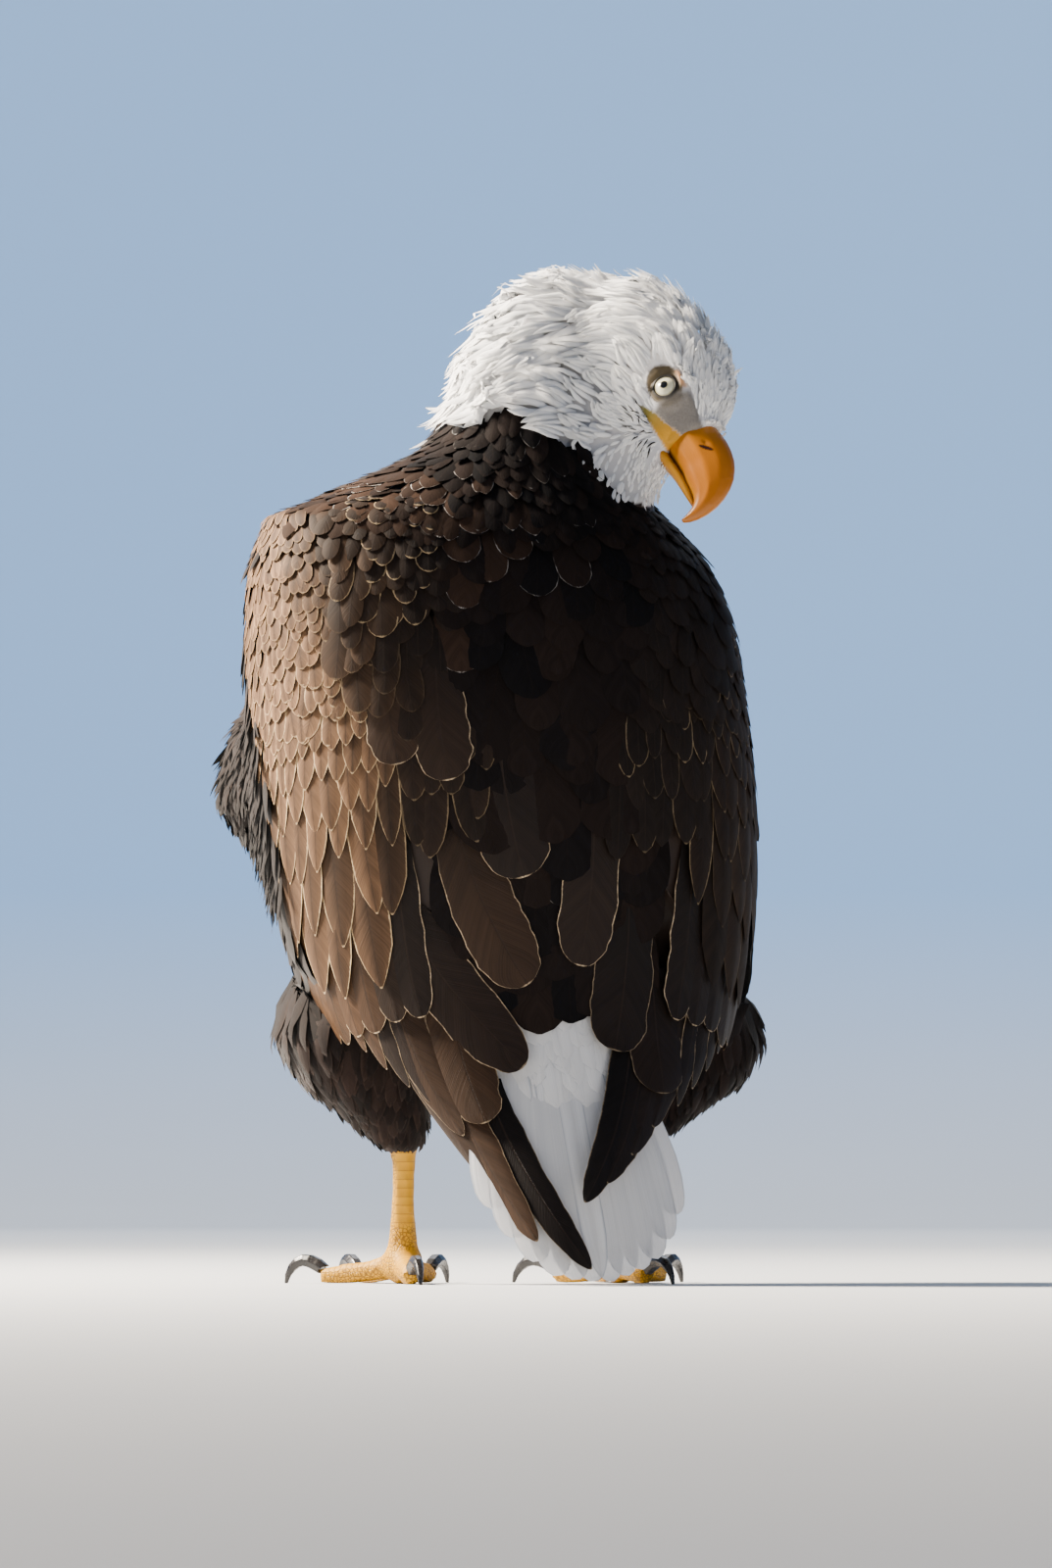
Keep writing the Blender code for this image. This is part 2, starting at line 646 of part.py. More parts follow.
def bill_ring(row, count=12):
    """One ring of the upper bill, between its ridge and its cutting edges."""
    top_ahead, top_up, edge_ahead, edge_up, half_width = row
    ring = []
    for i in range(count):
        angle = 2 * math.pi * i / count
        c, s = rounded(angle, 2.2)
        ahead = (top_ahead + edge_ahead) / 2 + (top_ahead - edge_ahead) / 2 * s
        up = (top_up + edge_up) / 2 + (top_up - edge_up) / 2 * s
        ring.append(on_head(ahead, up, half_width * c * (1.0 - 0.22 * max(s, 0.0))))
    return ring


def make_bill(collection, cutters):
    """Cere with its nostrils, hooked upper bill and lower bill."""
    table = [(i / (len(UPPER_BILL) - 1), *row) for i, row in enumerate(UPPER_BILL)]
    seam = 0.6 / 60.0
    root_rings = [bill_ring(smooth(table, t)) for t in np.linspace(0.0, CERE_SHARE - seam, 4)]
    cere = loft("cere", root_rings, "bill_yellow", collection)
    horn_rings = [bill_ring(smooth(table, t)) for t in np.linspace(CERE_SHARE, 1.0, 11)]
    upper = loft("bill_upper", horn_rings, "bill_yellow", collection)
    rings = []
    for x in np.linspace(LOWER_BILL[0][0], LOWER_BILL[-1][0], 7):
        top, bottom, half_width = smooth(LOWER_BILL, x)
        middle, half = (top + bottom) / 2, (top - bottom) / 2
        ring = []
        for i in range(12):
            c, s = rounded(2 * math.pi * i / 12, 2.6)
            ring.append(on_head(x, middle + half * s, half_width * c * (1.0 + 0.15 * s)))
        rings.append(ring)
    lower = loft("bill_lower", rings, "bill_yellow", collection)

    forward, upward, rightward = head_axes()
    for turn in (1.0, -1.0):
        half_width = smooth(table, CERE_SHARE * 0.8)[4]
        place = on_head(NOSTRIL["ahead"], NOSTRIL["up"], turn * half_width)
        lean = math.radians(NOSTRIL["slant"])
        long = forward * math.cos(lean) + upward * math.sin(lean)
        frame = Matrix((long, rightward.cross(long), rightward)).transposed().to_4x4()
        size = (NOSTRIL["half_length"], NOSTRIL["half_height"], NOSTRIL["depth"])
        hole = ball(f"nostril_{turn:+.0f}", place, 1.0, "bill_yellow", cutters, frame, size, 10)
        hole.hide_render = True
        hole.display_type = "WIRE"
        cut = cere.modifiers.new("nostril", "BOOLEAN")
        cut.operation = "DIFFERENCE"
        cut.object = hole
    mesh = evaluated(cere)
    cere.modifiers.clear()
    largest_island(mesh)
    cere.data = mesh
    return cere, upper, lower


def make_eyes(collection):
    """Both eyeballs, set as deep as the bird's own."""
    eyes = []
    for side in (LEFT, RIGHT):
        place = on_head(EYE_AHEAD, 0.0, -SIGN[side] * EYE_ASIDE)
        eyes.append(ball(f"eye_{side}", place, EYE_RADIUS, "eye_straw", collection, segments=12))
    return eyes


# ---------------------------------------------------------------- legs and feet

def make_thigh(side, collection):
    """The feathered thigh, which ends in a loose fringe over the hock."""
    rings = []
    for row in THIGH:
        z, out, back, half_across, half_along = row
        out += LEG_OUT[side]
        ring = []
        for i in range(14):
            c, s = rounded(2 * math.pi * i / 14)
            spread = THIGH_SPREAD[side] if c > 0 and 110.0 < z < 190.0 else 1.0
            ring.append((SIGN[side] * (out + c * half_across * spread), back + s * half_along, z))
        rings.append(ring)
    return loft(f"thigh_{side}", rings, "brown", collection)


def leg_point(side, point):
    """A leg's point on its own side, with that leg's stance."""
    return Vector((SIGN[side] * (point[0] + LEG_OUT[side]), point[1], point[2]))


def make_shank(side, collection):
    """The bare, scaled shank from the hock to the foot."""
    hock, ankle = leg_point(side, HOCK), leg_point(side, ANKLE)
    points = [hock.lerp(ankle, t) for t in (0.0, 0.3, 0.7, 1.0)]
    return tapered_tube(f"shank_{side}", points, SHANK_RADII, "skin_yellow", collection)


def make_foot(side, collection, cutters):
    """Ball of the foot, four toes with flat soles and four claws that touch the floor with their points."""
    ankle = leg_point(side, ANKLE)
    middle, size = (ankle.x, ankle.y, 13.0), (14.0, 14.5, 14.0)
    hub = ball(f"foot_{side}", middle, 1.0, "skin_yellow", collection, None, size, 10)
    stand_flat(hub)
    toes, claws = [], []
    for name, (heading, length, girth, claw) in TOES.items():
        turn = math.radians(heading)
        ahead = Vector((SIGN[side] * math.sin(turn), -math.cos(turn), 0.0))
        start = Vector((ankle.x, ankle.y, 0.0))
        spots = ((4.0, 1.08, 6.0), (length * 0.35, 1.0, 1.2), (length * 0.8, 0.94, 0.0))
        spots += ((length + 1.5, 0.74, 0.0),)
        points = [start + ahead * reach + UP * (girth * share * SOLE + rise) for reach, share, rise in spots]
        girths = [girth * share for _, share, _ in spots]
        toe = tapered_tube(f"{name}_{side}", points, girths, "skin_yellow", collection)
        stand_flat(toe)
        carve(toe, [hub, *toes], cutters)
        toes.append(toe)
        arc = ((-2.5, 7.6, 3.9), (0.2, 13.6, 4.6), (0.62, 15.6, 3.6), (0.96, 7.0, 2.0), (1.0, -0.3, 0.75))
        points = []
        for reach, height, _ in arc:
            out = reach * claw if reach > 0 else reach
            points.append(start + ahead * (length + out) + UP * height)
        radii = [radius for *_, radius in arc]
        nail = tapered_tube(f"claw_{name[4:]}_{side}", points, radii, "claw_black", collection)
        stand_flat(nail)
        carve(nail, [toe], cutters)
        claws.append(nail)
    return hub, toes, claws


# ---------------------------------------------------------------- the bird

def clear_scene():
    """Removes whatever the scene holds."""
    for obj in list(bpy.data.objects):
        bpy.data.objects.remove(obj)


def stand_on_origin(pieces):
    """Moves the bird so that the middle of its box, at floor level, is the origin."""
    corners = np.array([v.co for piece in pieces for v in piece.data.vertices])
    middle = (corners.min(axis=0) + corners.max(axis=0)) / 2
    for piece in pieces:
        piece.data.transform(Matrix.Translation((-middle[0], -middle[1], 0.0)))


def main():
    clear_scene()
    eagle = bpy.data.collections.new("bald_eagle")
    cutters = bpy.data.collections.new("cutters")
    for collection in (eagle, cutters):
        bpy.context.scene.collection.children.link(collection)

    trunk = make_trunk(eagle)
    coverts, tail = make_tail_coverts(eagle), make_tail(eagle)
    carve(tail, [trunk, coverts], cutters)
    carve(trunk, [coverts], cutters)

    head = make_head(eagle)
    cere, upper, lower = make_bill(eagle, cutters)
    eyes = make_eyes(eagle)
    carve(head, [cere, upper, lower], cutters)
    carve(head, eyes, cutters, SOCKET_MARGIN * MM)
    carve(lower, [cere, upper], cutters)
    neck = carve(make_neck(eagle), [head, cere, upper, lower, trunk], cutters)

    wings = {side: make_wing(side, eagle) for side in (LEFT, RIGHT)}
    for wing in wings.values():
        for patch, above in zip(wing, (None, *wing)):
            carve(patch, [trunk, coverts, tail, *filter(None, [above])], cutters)
    for patch in wings[RIGHT]:
        carve(patch, wings[LEFT], cutters)
    for side in (LEFT, RIGHT):
        thigh = carve(make_thigh(side, eagle), [trunk, coverts, *wings[side]], cutters)
        hub, toes, claws = make_foot(side, eagle, cutters)
        carve(make_shank(side, eagle), [thigh, hub, *toes], cutters)

    stand_on_origin(list(eagle.objects))


main()
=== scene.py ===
"""A bald eagle at life size, on its feet and the end of its tail, looking down over its right shoulder.

The breast faces -Y, +X is the bird's left, +Z is up and the floor is z = 0. Sizes are in millimetres, and MM
turns them into metres. One skin carries the whole bird, and every feather over it is a thin closed vane.
"""

import logging
import math
from collections.abc import Callable, Iterable
from dataclasses import dataclass, field
from enum import Enum

import bmesh
import bpy
import numpy as np
from mathutils import Matrix, Vector
from mathutils.bvhtree import BVHTree
from mathutils.kdtree import KDTree


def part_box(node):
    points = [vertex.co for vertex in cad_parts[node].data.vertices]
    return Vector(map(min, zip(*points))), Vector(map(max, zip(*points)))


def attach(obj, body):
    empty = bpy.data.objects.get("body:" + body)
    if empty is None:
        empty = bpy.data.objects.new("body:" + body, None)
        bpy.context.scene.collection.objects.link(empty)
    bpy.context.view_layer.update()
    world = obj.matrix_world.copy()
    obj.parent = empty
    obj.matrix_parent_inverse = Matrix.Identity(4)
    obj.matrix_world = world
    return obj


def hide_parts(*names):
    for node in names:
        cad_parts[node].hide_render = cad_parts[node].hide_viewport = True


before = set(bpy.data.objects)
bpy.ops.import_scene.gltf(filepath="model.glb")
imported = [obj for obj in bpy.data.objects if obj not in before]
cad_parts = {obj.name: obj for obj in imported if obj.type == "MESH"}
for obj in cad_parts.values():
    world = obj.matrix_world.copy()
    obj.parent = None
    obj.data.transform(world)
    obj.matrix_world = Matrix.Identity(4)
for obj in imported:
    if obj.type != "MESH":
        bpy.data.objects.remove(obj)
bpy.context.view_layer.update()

MM = 0.001
BODY_NAME = "root"
SEED = 20
TUFT_PATCH = 0.003  # how wide a small feather's patch is on the bake map
UPRIGHT, LEFTWARD = Vector((0, 0, 1)), Vector((1, 0, 0))
Array = np.ndarray
log = logging.getLogger("eagle")


class Side(Enum):
    """The bird's own sides, as the sign of x."""

    LEFT = 1
    RIGHT = -1

    @property
    def word(self) -> str:
        """The side's name as it stands in the nodes' names."""
        return self.name.lower()


class Cut(Enum):
    """A feather's outline: its half-width at places from root (0) to tip (1), as shares of its widest."""

    CONTOUR = ((0.0, 0.30), (0.2, 0.72), (0.45, 0.96), (0.66, 1.0), (0.82, 0.88), (0.92, 0.62), (0.975, 0.34),
               (1.0, 0.06))
    HACKLE = ((0.0, 0.40), (0.25, 0.92), (0.45, 1.0), (0.65, 0.80), (0.82, 0.50), (0.93, 0.24), (1.0, 0.03))
    LANCE = ((0.0, 0.35), (0.3, 0.9), (0.55, 1.0), (0.74, 0.86), (0.88, 0.55), (0.96, 0.26), (1.0, 0.04))
    DOWN = ((0.0, 0.45), (0.2, 0.9), (0.4, 0.75), (0.6, 0.95), (0.8, 0.55), (0.92, 0.28), (1.0, 0.03))
    FLIGHT = ((0.0, 0.62), (0.2, 0.9), (0.5, 1.0), (0.78, 0.98), (0.9, 0.82), (0.96, 0.58), (0.99, 0.30),
              (1.0, 0.10))
    BLADE = ((0.0, 0.80), (0.3, 1.0), (0.6, 0.92), (0.8, 0.74), (0.92, 0.48), (0.975, 0.27), (1.0, 0.05))
    RECTRIX = ((0.0, 0.55), (0.3, 0.8), (0.7, 1.0), (0.88, 0.97), (0.95, 0.80), (0.985, 0.52), (1.0, 0.20))

    def half_width(self, along: Array) -> Array:
        """Shares of the widest half-width at places along the feather."""
        table = np.array(self.value)
        return np.interp(along, table[:, 0], table[:, 1])


# ---------------------------------------------------------------- numbers and colours

def linear(hex_colour: str) -> tuple[float, float, float, float]:
    """Turns an sRGB hex colour to linear.

    Args:
        hex_colour: Six hex digits.

    Returns:
        Linear red, green and blue, with full alpha.
    """
    parts = [int(hex_colour[i:i + 2], 16) / 255 for i in (0, 2, 4)]
    r, g, b = [p / 12.92 if p <= 0.04045 else ((p + 0.055) / 1.055) ** 2.4 for p in parts]
    return r, g, b, 1.0


def unit(vectors: Array) -> Array:
    """The same vectors at length one."""
    return vectors / np.maximum(np.linalg.norm(vectors, axis=-1, keepdims=True), 1e-9)


def ease(low: float, high: float, at: Array) -> Array:
    """0 up to low, 1 from high on, and a smooth step between, with low over high for a fall."""
    t = np.clip((np.asarray(at, float) - low) / (high - low), 0.0, 1.0)
    return t * t * (3 - 2 * t)


def table(rows: tuple, at: Array) -> Array:
    """The second column of a two-column table where its first is `at`, straight between its rows."""
    values = np.array(sorted(rows), float)
    return np.interp(at, values[:, 0], values[:, 1])


# ---------------------------------------------------------------- nodes and finishes

# The output that is read of a kind of node where it isn't the first, and the settings that it always has.
USUAL = {"Attribute": ("Fac", {}), "Mix": (2, {"data_type": "RGBA"}), "TexCoord": ("Object", {})}


def add(tree: bpy.types.NodeTree, kind: str, inputs: dict | None = None, out: int | str | None = None,
        stops: dict[float, object] | None = None, **settings: object) -> "Output":
    """Adds a shader node with its settings and links.

    Args:
        tree: The material's node tree.
        kind: The node's type, without the "ShaderNode" in front.
        inputs: What each input socket holds: another node's output, a value, or a colour as hex digits.
        out: The output that is wanted, where it isn't the usual one.
        stops: A ramp's hex colours or greys, at their places from 0 to 1.
        settings: The node's own properties.

    Returns:
        The node's output.
    """
    made = tree.nodes.new("ShaderNode" + kind)
    usual, always = USUAL.get(kind, (0, {}))
    for name, value in {**always, **settings}.items():
        setattr(made, name, value)
    for socket, value in (inputs or {}).items():
        if isinstance(value, Output):
            tree.links.new(value.socket, made.inputs[socket])
        else:
            made.inputs[socket].default_value = linear(value) if isinstance(value, str) else value
    if stops:
        elements = made.color_ramp.elements
        while len(elements) < len(stops):
            elements.new(0.5)
        for element, (place, colour) in zip(elements, stops.items()):
            element.position = place
            element.color = linear(colour) if isinstance(colour, str) else (colour, colour, colour, 1.0)
    return Output(tree, made.outputs[usual if out is None else out])


@dataclass(frozen=True)
class Output:
    """What comes out of a node. Sums are written on it as on any number."""

    tree: bpy.types.NodeTree
    socket: bpy.types.NodeSocket

    def sum(self, operation: str, *others: object, clamp: bool = False) -> "Output":
        """The result of an operation on this and other numbers.

        Args:
            operation: The operation's name.
            others: The other numbers.
            clamp: Whether the result is held between 0 and 1.

        Returns:
            The result.
        """
        return add(self.tree, "Math", dict(enumerate((self, *others))), operation=operation, use_clamp=clamp)

    def __add__(self, other: object) -> "Output":
        """The two added."""
        return self.sum("ADD", other)

    def __sub__(self, other: object) -> "Output":
        """The other taken from this."""
        return self.sum("SUBTRACT", other)

    def __mul__(self, other: object) -> "Output":
        """The two multiplied."""
        return self.sum("MULTIPLY", other)

    def __truediv__(self, other: object) -> "Output":
        """This over the other."""
        return self.sum("DIVIDE", other)

    def held(self) -> "Output":
        """The same number, held between 0 and 1."""
        return self.sum("ADD", 0.0, clamp=True)

    def size(self) -> "Output":
        """The same number without its sign."""
        return self.sum("ABSOLUTE")


@dataclass(frozen=True)
class Finish:
    """What every finish has: its name and how its surface takes the light."""

    name: str
    roughness: float = 0.6
    ior: float = 1.5
    coat: float = 0.0
    sheen: float = 0.0
    gloss: float = 0.5
    scatter: float = 0.0  # how much light passes through to what lies under
    bump_mm: float = 0.1

    def start(self) -> tuple[bpy.types.Material, bpy.types.NodeTree, bpy.types.Node]:
        """Makes the material with its Principled shader set up.

        Returns:
            The material, its node tree and its shader.
        """
        made = bpy.data.materials.new(self.name)
        made.use_nodes = True
        tree = made.node_tree
        shader = tree.nodes["Principled BSDF"]
        for socket, value in (
            ("Roughness", self.roughness), ("IOR", self.ior), ("Coat Weight", self.coat),
            ("Coat Roughness", 0.04), ("Sheen Weight", self.sheen), ("Sheen Roughness", 0.5),
            ("Specular IOR Level", self.gloss), ("Subsurface Weight", self.scatter),
            ("Subsurface Scale", 3 * MM), ("Subsurface Radius", (1.0, 0.95, 0.9)),
        ):
            shader.inputs[socket].default_value = value
        return made, tree, shader

    def dress(self, tree: bpy.types.NodeTree, colour: Output, height: Output | None = None) -> None:
        """Gives the shader its colour, and a bump of this finish's depth where there is a height.

        Args:
            tree: The material's node tree.
            colour: The colour.
            height: The bump's height from 0 to 1.
        """
        shader = tree.nodes["Principled BSDF"]
        tree.links.new(colour.socket, shader.inputs["Base Color"])
        if height is not None:
            bump = add(tree, "Bump", {"Height": height, "Distance": self.bump_mm * MM, "Strength": 1.0})
            tree.links.new(bump.socket, shader.inputs["Normal"])


@dataclass(frozen=True)
class Vane(Finish):
    """Feather keratin: barbs that lie close on both sides of a shaft, worn pale along the edge.

    The barbs of a real vane are a third of a millimetre apart. They are drawn in bundles about three times as
    coarse, so that they show at arm's length.
    """

    deep: str = "14100E"  # where fresh pigment is densest
    worn: str = "9A7657"  # where sun and wear have bleached it
    rim: str = "CDB594"
    shaft: str = "241A14"
    barbs_per_mm: float = 0.75
    barb_slant: float = 1.15  # how far towards the tip a barb runs, over how far out
    streak: float = 0.35  # how much the barbs differ in colour
    root: float = 0.45  # how dark the covered part is painted, as shade under the feathers over it
    covered: float = 0.6  # how much of the feather lies under others
    rim_mm: float = 0.9
    rim_from: float = 0.1  # how far along the feather the worn rim begins
    rim_gain: float = 1.0
    rim_gaps: float = 0.0  # how much of the rim is broken away
    middle: float = 0.0  # how much denser the pigment is along the shaft
    quill: float = 0.7  # how plainly the shaft shows
    quill_mm: float = 0.55  # half the shaft's width
    quilled_mm: float = 5.5  # the half-width under which a feather shows no shaft
    variety: float = 0.5  # how much one feather differs from the next

    def build(self) -> bpy.types.Material:
        """Makes the material from the attributes that every laid feather carries.

        Returns:
            The material.
        """
        made, tree, _ = self.start()
        across, along, own, sun, rim, width, length = (
            add(tree, "Attribute", attribute_name=name)
            for name in ("across", "along", "own", "sun", "rim", "half_width_mm", "length_mm"))
        aside = across.size()
        # A barb leaves the shaft at a slant, so its line runs from the shaft out and towards the tip.
        run = along * length - aside * width * self.barb_slant
        place = add(tree, "CombineXYZ", {0: run * self.barbs_per_mm, 1: across * 0.35, 2: own * 91.0})
        barbs = add(tree, "TexNoise", {"Vector": place, "Scale": 1.0, "Detail": 2.0, "Roughness": 0.65})
        coarse = add(tree, "TexNoise", {"Vector": place, "Scale": 0.16, "Detail": 1.0})
        bleached = sun * (aside * self.middle + (1 - self.middle))
        pigment = add(tree, "Mix", {0: bleached, 6: self.deep, 7: self.worn})
        tone = own * self.variety + (1 - self.variety / 2)
        grain = (barbs - 0.5) * (2 * self.streak) + 1.0
        cloud = (coarse - 0.5) * 0.9 + 1.0
        # Painted shade: the part of each feather that lies under others is darker.
        cover = along.sum("SMOOTH_MIN", self.covered, 0.2) * ((1 - self.root) / self.covered) + self.root
        gain = tone * grain * (cloud * cover)
        body = add(tree, "VectorMath", {0: pigment, 3: gain}, operation="SCALE")
        # The rim: the last barbs at both sides and round the tip, ragged where it has worn. On the lit
        # feathers of the back it is partly a painted glint.
        edge = ((aside - 1.0) * width).sum("MAXIMUM", (along - 1.0) * (length * 0.7)) / self.rim_mm
        edge = ((edge + (barbs * 1.2 + 0.4)) * 2.0).held() * (along * 4.0 - 4.0 * self.rim_from).held()
        kept = (coarse * 7.0 - 3.2).held()
        edge = (edge * (rim * self.rim_gain)).held() * (kept * self.rim_gaps + (1.0 - self.rim_gaps))
        body = add(tree, "Mix", {0: edge, 6: body, 7: self.rim})
        quill = (aside * width).sum("LESS_THAN", self.quill_mm) * width.sum("GREATER_THAN", self.quilled_mm)
        body = add(tree, "Mix", {0: quill * self.quill, 6: body, 7: self.shaft})
        self.dress(tree, body, barbs + quill * (1.6 * self.quill))
        return made


@dataclass(frozen=True)
class WhiteVane(Finish):
    """Keratin without pigment: its air scatters all the light. Painted blue-grey shade lies at the roots, in
    the gaps between clumps and along the edges of broad feathers.
    """

    white: str = "FBFAF7"
    # The blue-grey of the painted shade.
    painted_shade: str = "BCC4D2"
    fleck: str = "4A4B55"
    streaks_per_mm: float = 1.1
    edged_mm: float = 8.0  # the half-width over which a feather is given painted shade along its edges

    def build(self) -> bpy.types.Material:
        """Makes the material, with painted grey shade at the roots and in fine streaks, and dark flecks where
        the mesh asks for them.

        Returns:
            The material.
        """
        made, tree, _ = self.start()
        across, along, own, width, fleck = (
            add(tree, "Attribute", attribute_name=name)
            for name in ("across", "along", "own", "half_width_mm", "fleck"))
        aside = across.size()
        beside = across * width * self.streaks_per_mm
        place = add(tree, "CombineXYZ", {0: beside, 1: along * 1.6, 2: own * 57.0})
        streaks = add(tree, "TexNoise", {"Vector": place, "Scale": 1.0, "Detail": 3.0, "Roughness": 0.6})
        # Painted shade: greyer towards the covered root, and in streaks between the clumps.
        shade = (along * -0.5 + 0.5) + (streaks - 0.45) * 0.45
        shade = (shade + (own * 0.2 - 0.15)).held()
        # Painted shade along both edges of the broad feathers.
        side = (aside * 7.0 - 6.2).held()
        shade = (shade + side * width.sum("GREATER_THAN", self.edged_mm)).held()
        colour = add(tree, "Mix", {0: shade, 6: self.white, 7: self.painted_shade})
        middle = (aside * -1.8 + 1.0).held()
        colour = add(tree, "Mix", {0: middle * fleck * 0.85, 6: colour, 7: self.fleck})
        self.dress(tree, colour, streaks)
        return made


@dataclass(frozen=True)
class Skin(Finish):
    """Skin: dusky under the brown coat, pale under the white, yellow legs, a grey and olive face."""

    under_brown: str = "241A15"
    under_white: str = "C9C9CC"

    def build(self) -> bpy.types.Material:
        """Makes the material from the masks that the skin's mesh carries.

        Returns:
            The material.
        """
        made, tree, _ = self.start()
        place = add(tree, "TexCoord")
        fine = add(tree, "TexNoise", {"Vector": place, "Scale": 900.0, "Detail": 3.0})
        broad = add(tree, "TexNoise", {"Vector": place, "Scale": 160.0, "Detail": 2.0})
        # The scales of the legs are a net about 2.5 mm across between the broad plates.
        cells = {"Vector": place, "Scale": 420.0, "Randomness": 0.8}
        net = add(tree, "TexVoronoi", cells, "Distance", feature="DISTANCE_TO_EDGE")
        net = add(tree, "ValToRGB", {0: net}, stops={0.0: 0.0, 0.16: 1.0})
        white, plate, plated, front, leg = (
            add(tree, "Attribute", attribute_name=name)
            for name in ("white", "plate", "plated", "front", "leg"))
        # Broad plates run down the shank and along the toes, with a groove between.
        rows = {0.0: 0.0, 0.10: 0.75, 0.8: 1.0, 1.0: 0.9}
        groove = add(tree, "ValToRGB", {0: plate.sum("FRACT")}, stops=rows)
        scales = add(tree, "Mix", {0: plated, 6: net, 7: groove})
        yellow = add(tree, "Mix", {0: broad, 6: "B88000", 7: "CC9800"})
        flange = add(tree, "Mix", {0: front, 6: "66602C", 7: "C48A12"})
        colour = add(tree, "Mix", {0: white, 6: self.under_brown, 7: self.under_white})
        for mark, over in (
            ("leg", add(tree, "Mix", {0: scales, 6: "7A5410", 7: yellow})),
            ("lore", add(tree, "Mix", {0: fine, 6: "5E5A56", 7: "86817B"})),
            ("orbit", add(tree, "Mix", {0: broad, 6: "41382A", 7: "5E523A"})),
            ("gape", add(tree, "Mix", {0: broad * 0.3, 6: flange, 7: "8C7A30"})),
            ("brow", add(tree, "Mix", {0: fine, 6: "C08C5C", 7: "D8A67C"})),
            ("lid", "0C0A08"),
        ):
            share = add(tree, "Attribute", attribute_name=mark)
            colour = add(tree, "Mix", {0: share, 6: colour, 7: over})
        rough = add(tree, "RGBToBW", {0: scales}) * leg
        self.dress(tree, colour, rough + fine * 0.5)
        return made


@dataclass(frozen=True)
class Horn(Finish):
    """Bill horn: keratin sheets worn smooth, deep yellow, and paler along the cutting edge."""

    root: str = "BC7800"
    middle: str = "B46A00"
    tip: str = "A66000"
    streak: str = "8A4C00"
    edge: str = "C08A18"
    # The nostril's opening, painted dark as the shade inside it.
    nostril_shade: str = "2A0E04"

    def build(self) -> bpy.types.Material:
        """Makes the material over the piece's place along the bill.

        Returns:
            The material.
        """
        made, tree, _ = self.start()
        ahead, up, pale, nostril = (
            add(tree, "Attribute", attribute_name=name) for name in ("ahead", "up", "pale", "nostril"))
        drawn_out = add(tree, "CombineXYZ", {0: ahead * 5.0, 1: up * 26.0})
        streaks = add(tree, "TexNoise", {"Vector": drawn_out, "Scale": 1.6, "Detail": 4.0, "Roughness": 0.6})
        pits = add(tree, "TexNoise", {"Vector": add(tree, "TexCoord"), "Scale": 700.0, "Detail": 2.0})
        colour = add(tree, "ValToRGB", {0: ahead}, stops={0.3: self.root, 0.62: self.middle, 1.0: self.tip})
        colour = add(tree, "Mix", {0: streaks * 0.5, 6: colour, 7: self.streak})
        colour = add(tree, "Mix", {0: pale, 6: colour, 7: self.edge})
        colour = add(tree, "Mix", {0: nostril, 6: colour, 7: self.nostril_shade})
        self.dress(tree, colour, streaks + pits * 0.4)
        return made


@dataclass(frozen=True)
class Talon(Finish):
    """Claw horn: black keratin, polished on the curve and scuffed grey along its growth lines."""

    def build(self) -> bpy.types.Material:
        """Makes the material on the object's own coordinates.

        Returns:
            The material.
        """
        made, tree, shader = self.start()
        place = add(tree, "TexCoord")
        lines = add(tree, "TexNoise", {"Vector": place, "Scale": 500.0, "Detail": 3.0})
        broad = add(tree, "TexNoise", {"Vector": place, "Scale": 90.0, "Detail": 2.0})
        polish = add(tree, "ValToRGB", {0: lines}, stops={0.3: 0.22, 0.7: 0.42})
        tree.links.new(polish.socket, shader.inputs["Roughness"])
        self.dress(tree, add(tree, "ValToRGB", {0: broad}, stops={0.35: "0E0D0E", 0.7: "2E2B2A"}), lines)
        return made


@dataclass(frozen=True)
class Eyeball(Finish):
    """A wet eye: a clear coat over a straw iris with fine spokes, a black pupil and a dark rim."""

    pupil_mm: float = 2.5
    iris_mm: float = 6.9

    def build(self) -> bpy.types.Material:
        """Makes the material over the distance from the eye's axis.

        Returns:
            The material.
        """
        made, tree, _ = self.start()
        out = add(tree, "Attribute", attribute_name="from_axis_mm")
        turn = add(tree, "Attribute", None, "Vector", attribute_name="spoke")
        rings = {0.34: "8E8663", 0.45: "DAD6B4", 0.80: "E6E2C6", 0.93: "A39C78", 1.0: "2A241A"}
        iris = add(tree, "ValToRGB", {0: out / self.iris_mm}, stops=rings)
        spokes = add(tree, "TexNoise", {"Vector": turn, "Scale": 9.0, "Detail": 3.0})
        iris = add(tree, "Mix", {0: spokes * 0.45, 6: iris, 7: "9C946B"})
        dark = out.sum("LESS_THAN", self.pupil_mm).sum("MAXIMUM", out.sum("GREATER_THAN", self.iris_mm))
        self.dress(tree, add(tree, "Mix", {0: dark, 6: iris, 7: "050505"}))
        return made


@dataclass(frozen=True)
class Paint(Finish):
    """Matt paint on the studio's seamless sweep, pale on the floor and a soft blue-grey behind."""

    floor: str = "C4C6C8"
    wall: str = "8DB2DC"
    cloud: str = "7F93AB"
    fade_height: float = 1.2  # metres above the floor, half of which turns floor to wall

    def build(self) -> bpy.types.Material:
        """Makes the material over the height above the floor.

        Returns:
            The material.
        """
        made, tree, _ = self.start()
        place = add(tree, "TexCoord")
        height = add(tree, "SeparateXYZ", {0: place}, "Z") / self.fade_height
        colour = add(tree, "ValToRGB", {0: height.held()}, stops={0.0: self.floor, 0.5: self.wall})
        clouds = add(tree, "TexNoise", {"Vector": place, "Scale": 3.0, "Detail": 2.0})
        self.dress(tree, add(tree, "Mix", {0: clouds * 0.06, 6: colour, 7: self.cloud}))
        return made


